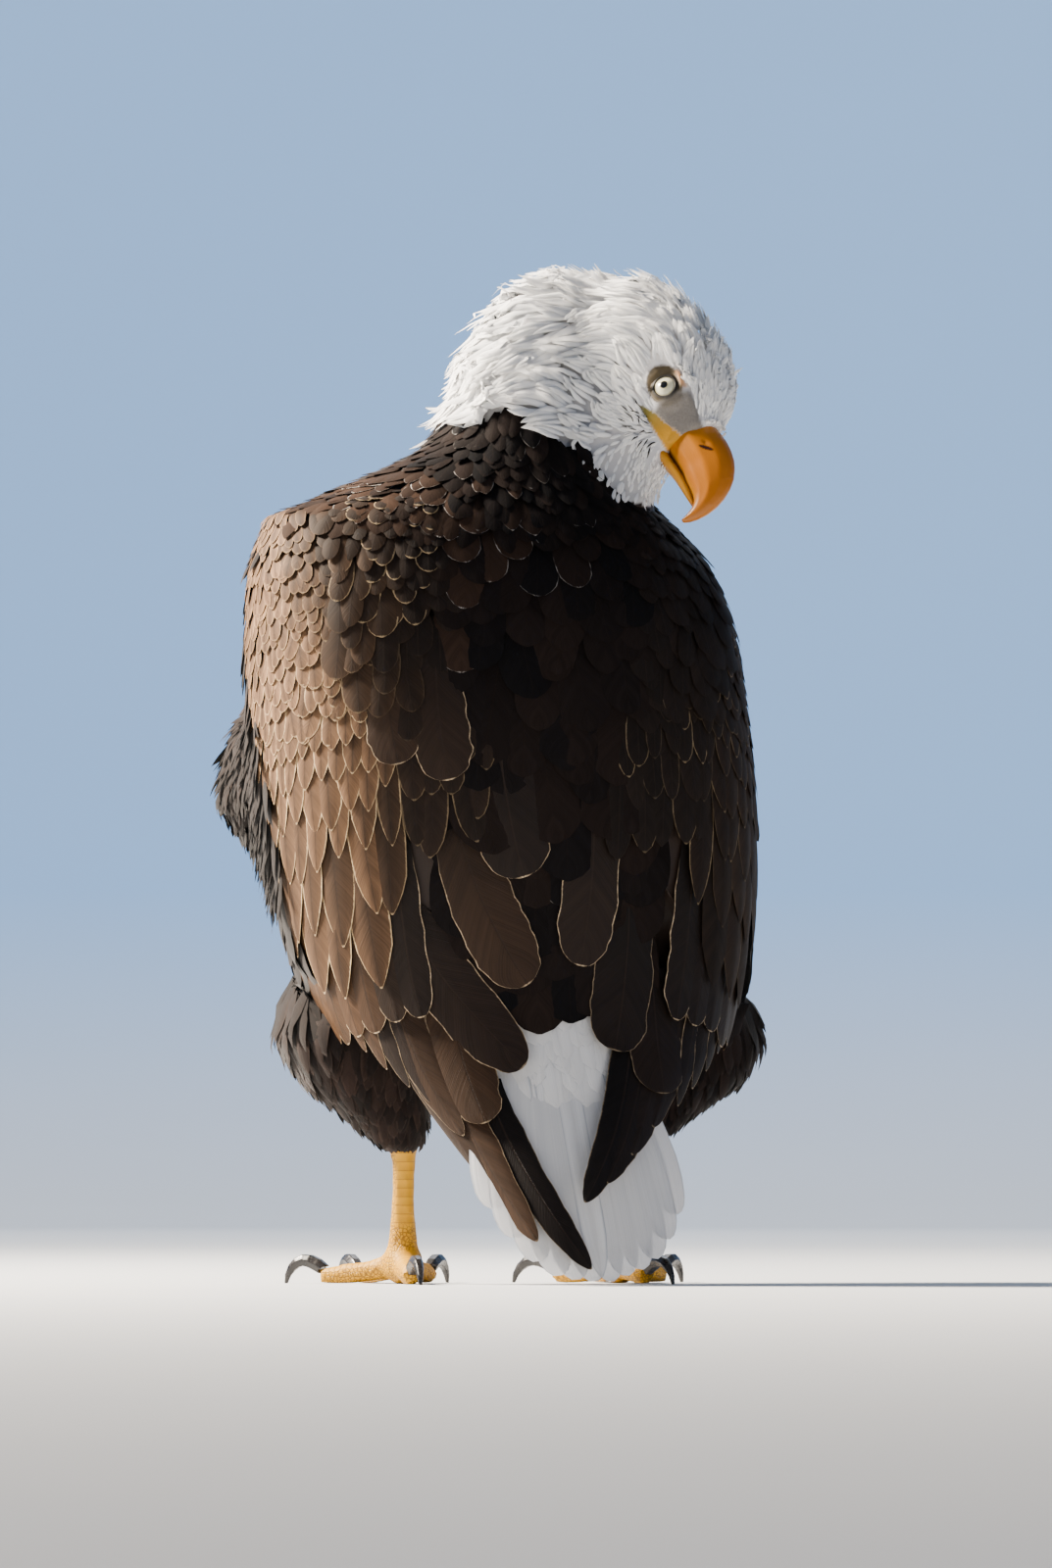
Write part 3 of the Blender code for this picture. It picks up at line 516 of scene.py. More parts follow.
class Finishes:
    """All of the bird's finishes, each made once."""

    def __init__(self) -> None:
        """Makes every material."""
        # Keratin full of fresh pigment, on the back. Its pale rims are partly worn tips and partly painted
        # glints.
        self.mantle = Vane(
            "feather_keratin_mantle", roughness=0.75, gloss=0.06, bump_mm=0.15, deep="0A0A0C", worn="4A3629",
            rim="D2CCC6", rim_mm=0.7, rim_from=0.45, rim_gaps=0.9, quill=0.1, variety=0.18).build()
        # Keratin bleached by the sun, on the wing coverts and the scapulars.
        self.brown = Vane(
            "feather_keratin_brown", roughness=0.7, gloss=0.12, bump_mm=0.2, deep="110C0A", worn="7A5C43",
            rim="D8BC92", rim_mm=1.0, rim_gaps=0.35, middle=0.6, streak=0.5, quill=0.3, variety=0.5).build()
        # The hard keratin of flight feathers.
        self.flight = Vane(
            "feather_keratin_flight", roughness=0.55, gloss=0.14, bump_mm=0.22, streak=0.5, barbs_per_mm=0.9,
            rim_mm=0.7, rim_gaps=0.5, deep="0D0A0A", worn="6A4C32", quill=0.6).build()
        # Loose keratin without hooks, on the breast, the flanks and the legs.
        self.fluff = Vane(
            "feather_down_brown", roughness=0.9, gloss=0.1, sheen=0.1, bump_mm=0.2, deep="0F0B0A",
            worn="392A24", rim="54443C", rim_mm=2.0, rim_gain=0.35, root=0.6, quill=0.1).build()
        # Keratin without pigment, on the head.
        self.white = WhiteVane(
            "feather_keratin_white", roughness=0.75, gloss=0.2, sheen=0.1, scatter=0.35, bump_mm=0.12).build()
        # The same, greyer, in the tail and its coverts: partly stained by use, and partly painted shade.
        self.stained_and_shaded = WhiteVane(
            "feather_keratin_white_stained", roughness=0.75, gloss=0.2, scatter=0.25, bump_mm=0.2,
            white="D4D5D8", painted_shade="8F98A8").build()
        # Bare black shafts, on the cheeks.
        self.bristle = Vane(
            "feather_bristle_black", roughness=0.5, gloss=0.3, deep="0D0C0D", worn="2A2624",
            rim="2A2624").build()
        # Skin, bare on the face and scaly on the legs.
        self.skin = Skin("skin", roughness=0.55, gloss=0.25, bump_mm=0.3).build()
        # Horn, in the bill and in the claws.
        self.bill = Horn("bill_horn", roughness=0.36, gloss=0.35, coat=0.05, bump_mm=0.06).build()
        self.claw = Talon("claw_horn", bump_mm=0.05).build()
        # A wet cornea over the iris.
        self.eye = Eyeball("eye", roughness=0.15, coat=1.0, ior=1.38).build()
        # The studio's paint.
        self.sweep = Paint("matt_paint", roughness=0.9).build()


# ---------------------------------------------------------------- the head's own directions

def middle_of(node: str) -> Vector:
    """The middle of a CAD node's box."""
    return sum(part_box(node), Vector()) / 2


@dataclass
class HeadFrame:
    """The head's place and directions: it turns over the right shoulder and looks down."""

    neck_plane: float = 20.0  # the turns are in degrees
    bill_drop: float = 64.0
    bill_out: float = 28.0
    crown_tip: float = 4.0
    eyes_ahead: float = 8.0  # how far the eyes are ahead of the head's middle
    # Aside and up in the neck's plane, before the model was set on its origin by the shift.
    throat_corner: tuple[float, float] = (84.0, 497.0)
    origin_shift: tuple[float, float, float] = (3.4, -17.9, 0.0)
    # Where the white ends, as heights over how far aside in the neck's plane, and on the breast.
    nape_end: tuple = ((-60, 560), (-46, 551), (-34, 550), (-14, 543), (6, 546), (16, 536), (26, 524),
                       (38, 530), (54, 507), (64, 495), (90, 491))
    breast_end: float = 506.0

    def __post_init__(self) -> None:
        """Works out the directions, and takes the place from the eyes' own boxes."""
        plane, drop, out, tip = (
            math.radians(a) for a in (self.neck_plane, self.bill_drop, self.bill_out, self.crown_tip))
        self.aside = Vector((-math.cos(plane), math.sin(plane), 0.0))
        self.behind = Vector((math.sin(plane), math.cos(plane), 0.0))
        level = self.aside * math.cos(drop) - UPRIGHT * math.sin(drop)
        crown = self.aside * math.sin(drop) + UPRIGHT * math.cos(drop)
        self.ahead = level * math.cos(out) + self.behind * math.sin(out)
        self.up = Matrix.Rotation(tip, 3, self.ahead) @ crown
        self.right = self.ahead.cross(self.up)
        self.eyes = {side: middle_of(f"eye_{side.word}") for side in Side}
        self.middle = sum(self.eyes.values(), Vector()) / 2 - self.ahead * self.eyes_ahead * MM
        self.axes = np.array([self.ahead, self.up, self.right])
        aside, up = self.throat_corner
        self.corner = self.aside * aside * MM + UPRIGHT * up * MM + Vector(self.origin_shift) * MM

    def local(self, points: Array) -> Array:
        """Places ahead, up and right of the head's middle, in millimetres."""
        return (points - np.array(self.middle)) @ self.axes.T / MM

    def at(self, ahead: float, up: float, right: float) -> Vector:
        """A point from its places ahead, up and right, in millimetres."""
        return self.middle + (self.ahead * ahead + self.up * up + self.right * right) * MM

    def white_end(self, points: Array) -> Array:
        """The height at which the white ends, in millimetres, at each point's own bearing.

        Args:
            points: Places, in metres.

        Returns:
            Millimetres above the floor.
        """
        aside = points @ np.array(self.aside) / MM
        behind = ease(-0.035, 0.005, points @ np.array(self.behind) + 0.045 * ease(0.0, -30.0, aside))
        return table(self.nape_end, aside) * behind + self.breast_end * (1 - behind)

    def bareness(self, local: Array) -> dict[str, Array]:
        """How far each kind of bare skin covers the face at these places.

        Args:
            local: Places ahead, up and right of the head's middle, in millimetres.

        Returns:
            From 0 to 1 under each kind's name, all of them together under "bare", and under "front" how far
            forward on the gape a place is.
        """
        ahead, up, right = local[:, 0], local[:, 1], np.abs(local[:, 2])
        side = ease(5.0, 9.0, right)
        orbit = ease(1.05, 0.95, np.hypot((ahead - 6.5) / 14.5, (up - 0.2) / 11.6)) * side
        gape_top = table(((7.2, -20.4), (16.2, -14.2), (26.6, -10.1), (34.4, -6.2), (44.0, -3.0)), ahead)
        gape_low = table(((7.2, -20.8), (37.8, -18.0)), ahead)
        lore_top = 12.7 - 0.18 * (ahead - 17.5)
        under_gape = ease(gape_top + 0.7, gape_top - 0.3, up)
        gape = ease(6.0, 8.0, ahead) * ease(gape_low - 0.7, gape_low + 0.3, up) * under_gape * side
        lore = ease(14.0, 18.0, ahead) * (1 - under_gape) * ease(lore_top + 0.8, lore_top - 0.8, up) * side
        streak = ease(-1.0, 3.0, ahead) * ease(16.0, 12.0, ahead) * ease(1.9, 0.7, np.abs(up - 11.2)) * side
        every = np.maximum.reduce([orbit, lore, gape])
        return {"lore": lore, "orbit": orbit * (1 - 0.5 * lore), "gape": gape, "brow": streak, "bare": every,
                "front": ease(12.0, 34.0, ahead)}


# ---------------------------------------------------------------- surfaces to lay feathers on

def outside(names: tuple[str, ...], voxel_mm: float, steps: int, fill_mm: float = 0.0,
            within: bpy.types.Mesh | None = None) -> bpy.types.Mesh:
    """One smooth closed mesh round several CAD nodes.

    Args:
        names: The nodes.
        voxel_mm: The size of its faces.
        steps: How many times it is smoothed.
        fill_mm: How wide a crease between the nodes is filled, by growing them and shrinking the whole again.
        within: A closed mesh to take in as well, which is freed.

    Returns:
        The new mesh.
    """
    shape = bmesh.new()
    for name in names:
        solid = bmesh.new()
        solid.from_mesh(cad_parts[name].data)
        bmesh.ops.remove_doubles(solid, verts=solid.verts, dist=1e-6)
        solid.normal_update()
        # The nodes stand a hair apart, so each grows a little and the voxels find no gap.
        for vert in solid.verts:
            vert.co += vert.normal * (0.5 + fill_mm) * MM
        absorb(shape, meshed(solid, "grown"))
    if within is not None:
        absorb(shape, within)
    mesh = meshed(shape, "outside")
    helper = place_in_scene("outside", mesh)
    remesh = helper.modifiers.new("remesh", "REMESH")
    remesh.mode, remesh.voxel_size = "VOXEL", voxel_mm * MM
    soften = helper.modifiers.new("soften", "SMOOTH")
    soften.factor, soften.iterations = 0.5, steps
    graph = bpy.context.evaluated_depsgraph_get()
    made = bpy.data.meshes.new_from_object(helper.evaluated_get(graph))
    bpy.data.objects.remove(helper)
    bpy.data.meshes.remove(mesh)
    if fill_mm:
        points, normals = coordinates(made)
        made.vertices.foreach_set("co", (points - normals * fill_mm * MM).astype(np.float32).reshape(-1))
        made.update()
    return made


def meshed(shape: bmesh.types.BMesh, name: str) -> bpy.types.Mesh:
    """The mesh of a finished bmesh, which is freed.

    Args:
        shape: The bmesh.
        name: Its name.

    Returns:
        The new mesh.
    """
    mesh = bpy.data.meshes.new(name)
    shape.to_mesh(mesh)
    shape.free()
    return mesh


def absorb(shape: bmesh.types.BMesh, mesh: bpy.types.Mesh) -> None:
    """Takes a mesh into a bmesh, and removes it."""
    shape.from_mesh(mesh)
    bpy.data.meshes.remove(mesh)


def spun(profile: Iterable[tuple[float, float]], steps: int) -> bmesh.types.BMesh:
    """A profile, as places out and up, spun once round the z axis.

    Args:
        profile: The places, in metres.
        steps: How many faces there are round.

    Returns:
        The new bmesh.
    """
    shape = bmesh.new()
    verts = [shape.verts.new((out, 0, up)) for out, up in profile]
    edges = [shape.edges.new(pair) for pair in zip(verts, verts[1:])]
    bmesh.ops.spin(shape, geom=[*verts, *edges], cent=(0, 0, 0), axis=(0, 0, 1), angle=2 * math.pi,
                   steps=steps, use_merge=True, use_duplicate=False)
    bmesh.ops.remove_doubles(shape, verts=shape.verts, dist=1e-6)
    return shape


def smooth(shape: bmesh.types.BMesh, verts: Iterable, times: int = 1) -> None:
    """Smooths some of a bmesh's points.

    Args:
        shape: The bmesh.
        verts: The points.
        times: How often.
    """
    for _ in range(times):
        bmesh.ops.smooth_vert(
            shape, verts=verts, factor=0.5, use_axis_x=True, use_axis_y=True, use_axis_z=True)


def place_in_scene(name: str, data: bpy.types.ID) -> bpy.types.Object:
    """Puts a mesh, a lamp or a camera in the scene.

    Args:
        name: Its name.
        data: The mesh, lamp or camera.

    Returns:
        The new object.
    """
    made = bpy.data.objects.new(name, data)
    bpy.context.scene.collection.objects.link(made)
    return made


def store(mesh: bpy.types.Mesh, marks: dict[str, Array]) -> None:
    """Stores one number for each point under each name."""
    for name, values in marks.items():
        mesh.attributes.new(name, "FLOAT", "POINT").data.foreach_set("value", values.astype(np.float32))


def coordinates(mesh: bpy.types.Mesh) -> tuple[Array, Array]:
    """A mesh's points and their normals.

    Args:
        mesh: The mesh.

    Returns:
        The points and the normals, as rows of three.
    """
    points, normals = (np.empty(len(mesh.vertices) * 3, np.float32) for _ in range(2))
    mesh.vertices.foreach_get("co", points)
    mesh.vertices.foreach_get("normal", normals)
    return points.reshape(-1, 3).astype(float), normals.reshape(-1, 3).astype(float)


class Hull:
    """A smooth surface on which feathers are laid."""

    def __init__(self, mesh: bpy.types.Mesh) -> None:
        """Reads the mesh, frees it and readies the search for the nearest place.

        Args:
            mesh: The mesh.
        """
        self.points, self.normals = coordinates(mesh)
        polygons = [tuple(p.vertices) for p in mesh.polygons]
        bpy.data.meshes.remove(mesh)
        self.tree = BVHTree.FromPolygons([Vector(p) for p in self.points], polygons)
        self.face_normals = unit(np.array([self.normals[list(p)].mean(axis=0) for p in polygons]))

    def nearest(self, points: Array) -> tuple[Array, Array]:
        """The nearest places on the surface, and the normals there."""
        hits = [self.tree.find_nearest(Vector(p)) for p in points]
        return np.array([h[0] for h in hits]), self.face_normals[[h[2] for h in hits]]

    def distance(self, points: Array) -> Array:
        """How far each point is from the surface."""
        return np.array([self.tree.find_nearest(Vector(p))[3] for p in points])

    def spread(self, spacing: Callable[[Array], Array], seed: int) -> Array:
        """Roots spread evenly over the surface.

        Args:
            spacing: Gives the distance between roots in millimetres at each point, or 0 where none grows.
            seed: For the order in which places are tried.

        Returns:
            The roots' places.
        """
        random = np.random.default_rng(seed)
        wanted = spacing(self.points) * MM
        some = np.flatnonzero(wanted > 0)
        order = random.permutation(some)
        cell = float(wanted[some].max())
        taken: dict[tuple, list[int]] = {}
        keys = np.floor(self.points / cell).astype(int)
        kept = []
        around = [(i, j, k) for i in (-1, 0, 1) for j in (-1, 0, 1) for k in (-1, 0, 1)]
        for i in order:
            x, y, z = keys[i]
            near = [n for a, b, c in around for n in taken.get((x + a, y + b, z + c), ())]
            if near and np.min(((self.points[near] - self.points[i]) ** 2).sum(axis=1)) < wanted[i] ** 2:
                continue
            taken.setdefault((x, y, z), []).append(i)
            kept.append(i)
        return self.points[kept]


@dataclass
class BodyForm:
    """The outside of the body and the folded wings, opened out flat.

    A place on it is how far round from the back's midline, along the outside and growing to the bird's left,
    and how high, both in millimetres.
    """

    # A height, and there the reach to the left, the right, the back and the front, and the middle's place.
    outline: tuple = (
        (560.0, 26.0, 38.0, 24.0, 44.0, -6.0), (543.0, 36.0, 50.0, 34.0, 54.0, -5.0),
        (525.0, 43.0, 64.0, 45.0, 65.0, -3.0), (511.0, 66.0, 80.0, 56.0, 76.0, 0.0),
        (500.0, 102.0, 90.0, 64.0, 84.0, 0.0), (488.0, 145.0, 101.0, 73.0, 92.0, 0.0),
        (472.0, 157.0, 117.0, 82.0, 101.0, 0.0), (450.0, 163.0, 133.0, 91.0, 110.0, 0.0),
        (420.0, 164.0, 146.0, 99.0, 119.0, 0.0), (380.0, 163.0, 153.0, 104.0, 127.0, 0.0),
        (340.0, 160.0, 158.0, 107.0, 132.0, 0.0), (300.0, 156.0, 161.0, 108.0, 133.0, 0.0),
        (260.0, 150.0, 161.0, 107.0, 128.0, 0.0), (220.0, 142.0, 157.0, 100.0, 115.0, 5.0),
        (180.0, 129.0, 147.0, 91.0, 92.0, 15.0), (140.0, 110.0, 127.0, 74.0, 62.0, 40.0),
        (100.0, 76.0, 82.0, 46.0, 40.0, 84.0), (60.0, 50.0, 54.0, 28.0, 28.0, 120.0),
        (30.0, 36.0, 38.0, 18.0, 20.0, 142.0), (0.0, 26.0, 28.0, 12.0, 14.0, 158.0),
    )
    squareness: float = 2.25
    lowest: float = 4.0
    highest: float = 540.0
    step: float = 4.0
    reach: float = 460.0  # how far round each way
    shift: tuple[float, float, float] = HeadFrame.origin_shift

    def __post_init__(self) -> None:
        """Works out the outside on an even grid, with its normals."""
        self.heights = np.arange(self.lowest, self.highest + 1, self.step)
        self.round = np.arange(-self.reach, self.reach + 1, self.step)
        self.grid = np.array([self._row(z) for z in self.heights])
        self.normal_grid = unit(np.cross(np.gradient(self.grid, axis=0), np.gradient(self.grid, axis=1)))
        self.tree = KDTree(self.grid[..., 0].size)
        for i, point in enumerate(self.grid.reshape(-1, 3)):
            self.tree.insert(Vector(point), i)
        self.tree.balance()

    def where(self, points: Array) -> tuple[Array, Array]:
        """How far round from the back's midline points are, and how high, in millimetres.

        Args:
            points: Places, in metres.

        Returns:
            Millimetres round, and high.
        """
        hits = [self.tree.find(Vector(p))[1] for p in points]
        rows, columns = np.unravel_index(hits, self.grid.shape[:2])
        return self.round[columns], self.heights[rows]

    def surface(self) -> bpy.types.Mesh:
        """The outside as an open mesh that faces out.

        Returns:
            The new mesh.
        """
        index = np.arange(self.grid[..., 0].size).reshape(self.grid.shape[:2])
        quads = np.stack([index[:-1, :-1], index[1:, :-1], index[1:, 1:], index[:-1, 1:]], axis=-1)
        mesh = bpy.data.meshes.new("form")
        mesh.from_pydata(self.grid.reshape(-1, 3).tolist(), [], quads.reshape(-1, 4).tolist())
        mesh.update()
        return mesh

    def _shape(self, z: float) -> Array:
        """The outline's five numbers at a height, on a curve through the table's rows.

        Args:
            z: Millimetres above the floor.

        Returns:
            The reach left, right, back and front, and the middle's place.
        """
        values = np.array(sorted(self.outline), float)
        x, y = values[:, 0], values[:, 1:]
        slope = np.gradient(y, x, axis=0)
        i = int(np.clip(np.searchsorted(x, z) - 1, 0, len(x) - 2))
        span = x[i + 1] - x[i]
        t = (z - x[i]) / span
        return ((2 * t**3 - 3 * t**2 + 1) * y[i] + (t**3 - 2 * t**2 + t) * span * slope[i]
                + (3 * t**2 - 2 * t**3) * y[i + 1] + (t**3 - t**2) * span * slope[i + 1])

    def _row(self, z: float) -> Array:
        """Evenly spaced points of the outline at a height, the last held past the end of a short one.

        Args:
            z: Millimetres above the floor.

        Returns:
            The row's points, in metres.
        """
        left, right, back, front, middle = self._shape(z)
        angles = np.radians(np.linspace(-175.0, 175.0, 701))
        c, s = np.sin(angles), np.cos(angles)
        power = 2 / self.squareness
        x = np.sign(c) * np.abs(c) ** power * np.where(c > 0, left, right)
        y = middle + np.sign(s) * np.abs(s) ** power * np.where(s > 0, back, front)
        lengths = np.concatenate([[0.0], np.cumsum(np.hypot(np.diff(x), np.diff(y)))])
        lengths -= np.interp(0.0, angles, lengths)
        x = np.interp(self.round, lengths, x) + self.shift[0]
        y = np.interp(self.round, lengths, y) + self.shift[1]
        return np.stack([x, y, np.full(len(self.round), z)], axis=1) * MM

    def place(self, around: Array, height: Array, out: Array) -> Array:
        """Points on the opened-out outside, moved out along its normal.

        Args:
            around: Millimetres round from the back's midline.
            height: Millimetres above the floor.
            out: Millimetres out from the body.

        Returns:
            The points, in metres.
        """
        i = np.clip((height - self.lowest) / self.step, 0, len(self.heights) - 1.001)
        j = np.clip((around + self.reach) / self.step, 0, len(self.round) - 1.001)
        i0, j0 = i.astype(int), j.astype(int)
        a, b = (i - i0)[..., None], (j - j0)[..., None]

        def blend(grid: Array) -> Array:
            """Values between the grid's four nearest points."""
            return ((1 - a) * ((1 - b) * grid[i0, j0] + b * grid[i0, j0 + 1])
                    + a * ((1 - b) * grid[i0 + 1, j0] + b * grid[i0 + 1, j0 + 1]))

        return blend(self.grid) + unit(blend(self.normal_grid)) * (np.asarray(out) * MM)[..., None]


# ---------------------------------------------------------------- feathers

class Blank:
    """One feather's mesh before it is laid: a thin closed sheet, thicker along its middle."""

    def __init__(self, columns: int, rows: int, tip_bias: float = 1.0) -> None:
        """Makes the sheet from a grid, doubles it and closes the two at the rim.

        Args:
            columns: Faces across.
            rows: Faces along.
            tip_bias: Over 1 to crowd the rows towards the tip.
        """
        self.rows = rows
        self.stations = 1.0 - (1.0 - np.arange(rows + 1) / rows) ** tip_bias
        sheet = bmesh.new()
        bmesh.ops.create_grid(sheet, x_segments=columns, y_segments=rows, size=1.0)
        bmesh.ops.recalc_face_normals(sheet, faces=sheet.faces)
        if next(iter(sheet.faces)).normal.z < 0:
            bmesh.ops.reverse_faces(sheet, faces=sheet.faces)
        copy = bmesh.ops.duplicate(sheet, geom=[*sheet.verts, *sheet.edges, *sheet.faces])["geom"]
        under = {g for g in copy if isinstance(g, bmesh.types.BMVert)}
        bmesh.ops.reverse_faces(sheet, faces=[g for g in copy if isinstance(g, bmesh.types.BMFace)])
        for vert in sheet.verts:
            if not vert.is_boundary:
                vert.co.z = -0.1 if vert in under else 0.1
        bmesh.ops.remove_doubles(sheet, verts=sheet.verts, dist=1e-4)
        sheet.verts.index_update()
        self.across = np.array([v.co.x for v in sheet.verts])
        self.row = np.array([round((v.co.y + 1) / 2 * rows) for v in sheet.verts])
        self.side = np.array([v.co.z * 10 for v in sheet.verts])
        self.faces = np.array([[v.index for v in f.verts] for f in sheet.faces])
        self.rim = np.abs(self.side) < 0.5
        self.along = self.stations[self.row]
        sheet.free()


@dataclass
class Coat:
    """Feathers of one piece, gathered before they are joined as one mesh."""

    name: str
    parts: list[dict] = field(default_factory=list)

    def gather(self, blank: Blank, points: Array, half_widths: Array, lengths: Array, marks: dict[str, Array],
               patches: Array, tile: Array | float) -> None:
        """Takes in laid feathers.

        Args:
            blank: The sheet that they were laid from.
            points: Every feather's points, in metres.
            half_widths: Millimetres.
            lengths: Millimetres.
            marks: One number for each feather under each name, or one for each of its points.
            patches: Each feather's place on the bake map.
            tile: The size of its patch there.
        """
        count, verts = points.shape[:2]

        def each(values: Array | float) -> Array:
            """Spreads one number for each feather over its points.

            Args:
                values: The numbers.

            Returns:
                A row for each feather.
            """
            values = np.asarray(values, float)
            if values.ndim == 2:
                return values
            return np.broadcast_to(values.reshape(-1, 1) if values.ndim else values, (count, verts))

        own = {"across": each(0) + blank.across, "along": each(0) + blank.along,
               "half_width_mm": each(half_widths), "length_mm": each(lengths)}
        own.update({name: each(values) for name, values in marks.items()})
        tile = np.asarray(tile, float).reshape(-1, 1) * np.ones((count, 1))
        bake = np.stack([patches[:, :1] + blank.across * 0.46 * tile,
                         patches[:, 1:] + (blank.along - 0.5) * 0.92 * tile], axis=-1)
        self.parts.append({"blank": blank, "points": points, "marks": own, "bake": bake})

    def join(self, finish: bpy.types.Material, slot: str, *nodes: str) -> bpy.types.Object:
        """Joins all the feathers as one piece, dresses it and rides it on the bird.

        Args:
            finish: Its material.
            slot: A slot's name, which is handed on to enlist.
            nodes: The CAD nodes that it stands for.

        Returns:
            The piece.
        """
        points, faces, rims, bakes, start = [], [], [], [], 0
        marks: dict[str, list[Array]] = {}
        names = sorted({name for part in self.parts for name in part["marks"]})
        for part in self.parts:
            blank, count = part["blank"], len(part["points"])
            size = len(blank.across)
            offsets = start + np.arange(count)[:, None, None] * size
            points.append(part["points"].reshape(-1, 3))
            faces.append((blank.faces[None] + offsets).reshape(-1, blank.faces.shape[1]))
            rims.append(np.tile(blank.rim, count))
            bakes.append(part["bake"].reshape(-1, 2))
            for name in names:
                values = part["marks"].get(name)
                values = np.zeros(count * size) if values is None else values.reshape(-1)
                marks.setdefault(name, []).append(values)
            start += count * size
        corners = np.concatenate(faces)
        mesh = bpy.data.meshes.new(self.name)
        mesh.vertices.add(start)
        mesh.vertices.foreach_set("co", np.concatenate(points).astype(np.float32).reshape(-1))
        mesh.loops.add(corners.size)
        mesh.loops.foreach_set("vertex_index", corners.reshape(-1).astype(np.int32))
        mesh.polygons.add(len(corners))
        mesh.polygons.foreach_set("loop_start", np.arange(0, corners.size, corners.shape[1], dtype=np.int32))
        mesh.update(calc_edges=True)
        joined = {name: np.concatenate(values) for name, values in marks.items()}
        store(mesh, joined)
        vane = np.stack([joined["across"] / 2 + 0.5, joined["along"]], axis=1)
        for name, places in (("vane", vane), ("OFBake", np.concatenate(bakes))):
            layer = mesh.uv_layers.new(name=name)
            layer.data.foreach_set("uv", places[corners.reshape(-1)].astype(np.float32).reshape(-1))
        mesh.uv_layers["vane"].active_render = True
        mesh.uv_layers.active = mesh.uv_layers["vane"]
        # The rim stays sharp, so that each face of the vane is shaded as the flat thing it is.
        ends = np.empty(len(mesh.edges) * 2, np.int32)
        mesh.edges.foreach_get("vertices", ends)
        rim = np.concatenate(rims)[ends.reshape(-1, 2)].all(axis=1)
        mesh.shade_smooth()
        mesh.attributes.new("sharp_edge", "BOOLEAN", "EDGE").data.foreach_set("value", rim)
        return enlist(self.name, mesh, finish, slot, *nodes)


def enlist(name: str, mesh: bpy.types.Mesh, finish: bpy.types.Material, slot: str,
           *nodes: str) -> bpy.types.Object:
    """Makes a finished piece of a mesh, rides it on the bird and reports it.

    Args:
        name: The piece's name.
        mesh: Its mesh, in place.
        finish: Its material.
        slot: Not used.
        nodes: The CAD nodes that it stands for.

    Returns:
        The piece.
    """
    mesh.name = name
    mesh.materials.clear()
    mesh.materials.append(finish)
    piece = place_in_scene(name, mesh)
    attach(piece, BODY_NAME)
    if nodes:
        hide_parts(*nodes)
    log.info("%s: %d faces", name, len(mesh.polygons))
    return piece


@dataclass
class Tract:
    """A tract of small feathers laid over a hull, each following the surface and the lie of the coat.

    Every rule is a function of the roots' places that gives one number, or direction, for each.
    """

    hull: Hull
    lie: Callable[[Array], Array]
    length: Callable[[Array], Array]
    slimness: float = 0.2  # half-width over length
    depth_mm: float = 5.0  # how far under the coat a root sits
    lift: float = 0.04  # how far a tip stands off, over its length
    unrest: float = 0.15  # how far a feather strays from the lie
    thick_mm: float = 0.3
    curl: float = 0.25  # how much the two edges curl under
    cut: Cut = Cut.CONTOUR
    rise: Callable[[Array], Array] | None = None  # millimetres that a whole feather lies off the hull
    clump_mm: float = 0.0  # how far apart the feathers are whose tips draw the others' together
    pull: Callable[[Array], Array] = lambda roots: np.full(len(roots), 0.5)

    def lay(self, blank: Blank, roots: Array, random: np.random.Generator) -> tuple[Array, Array, Array]:
        """Lays a feather from each root.

        Args:
            blank: The sheet to lay.
            roots: Their places on the hull.
            random: For the small differences between feathers.

        Returns:
            Every feather's points, and their half-widths and lengths in millimetres.
        """
        count = len(roots)
        lengths = self.length(roots) * random.uniform(0.82, 1.18, count)
        wide = lengths * self.slimness * random.uniform(0.85, 1.15, count)
        stray = random.normal(0.0, self.unrest, (count, 3))
        place, normal = self.hull.nearest(roots)
        centres, normals = [place], [normal]
        for before, after in zip(blank.stations, blank.stations[1:]):
            heading = unit(self.lie(place)) + stray
            heading = unit(heading - normal * (heading * normal).sum(axis=1, keepdims=True))
            place, normal = self.hull.nearest(place + heading * (lengths * MM * (after - before))[:, None])
            centres.append(place)
            normals.append(normal)
        centre, normal = np.stack(centres, axis=1), unit(np.stack(normals, axis=1))
        v = blank.stations[None, :, None]
        if self.clump_mm:
            leaders = self._leaders(roots, random)
            drawn = centre[leaders] - centre
            drawn -= normal * (drawn * normal).sum(axis=2, keepdims=True)
            centre = centre + drawn * (self.pull(roots)[:, None, None] * v**1.5)
        if self.rise is not None:
            centre = centre + normal * MM * self.rise(roots)[:, None, None]
        raised = random.normal(1.0, 0.5, (count, 1, 1)) * self.lift * lengths[:, None, None]
        sunk = self.depth_mm * (1 - v) ** 1.4 * np.minimum(lengths / 20.0, 1.0)[:, None, None]
        centre = centre + normal * MM * (raised * v**2 - sunk)
        forward = unit(np.gradient(centre, axis=1))
        aside = unit(np.cross(forward, normal))
        shares = self.cut.half_width(blank.stations)[blank.row]
        reach = blank.across * shares
        thick = self.thick_mm * np.minimum(1.0, 2.2 * (1.02 - blank.along))
        out = blank.side * thick - self.curl * reach**2 * wide[:, None]
        points = (centre[:, blank.row] + aside[:, blank.row] * (reach * wide[:, None] * MM)[..., None]
                  + normal[:, blank.row] * (out * MM)[..., None])
        return points, wide, lengths

    def _leaders(self, roots: Array, random: np.random.Generator) -> Array:
        """For each feather, the one whose tip draws its own.

        Args:
            roots: The feathers' roots.
            random: For the order of the draws.

        Returns:
            The other feather's number for each.
        """
        heads: list[int] = []
        for i in random.permutation(len(roots)):
            if not heads or np.min(np.linalg.norm(roots[heads] - roots[i], axis=1)) > self.clump_mm * MM:
                heads.append(int(i))
        near = KDTree(len(heads))
        for i in heads:
            near.insert(Vector(roots[i]), i)
        near.balance()
        return np.array([near.find(Vector(p))[1] for p in roots])


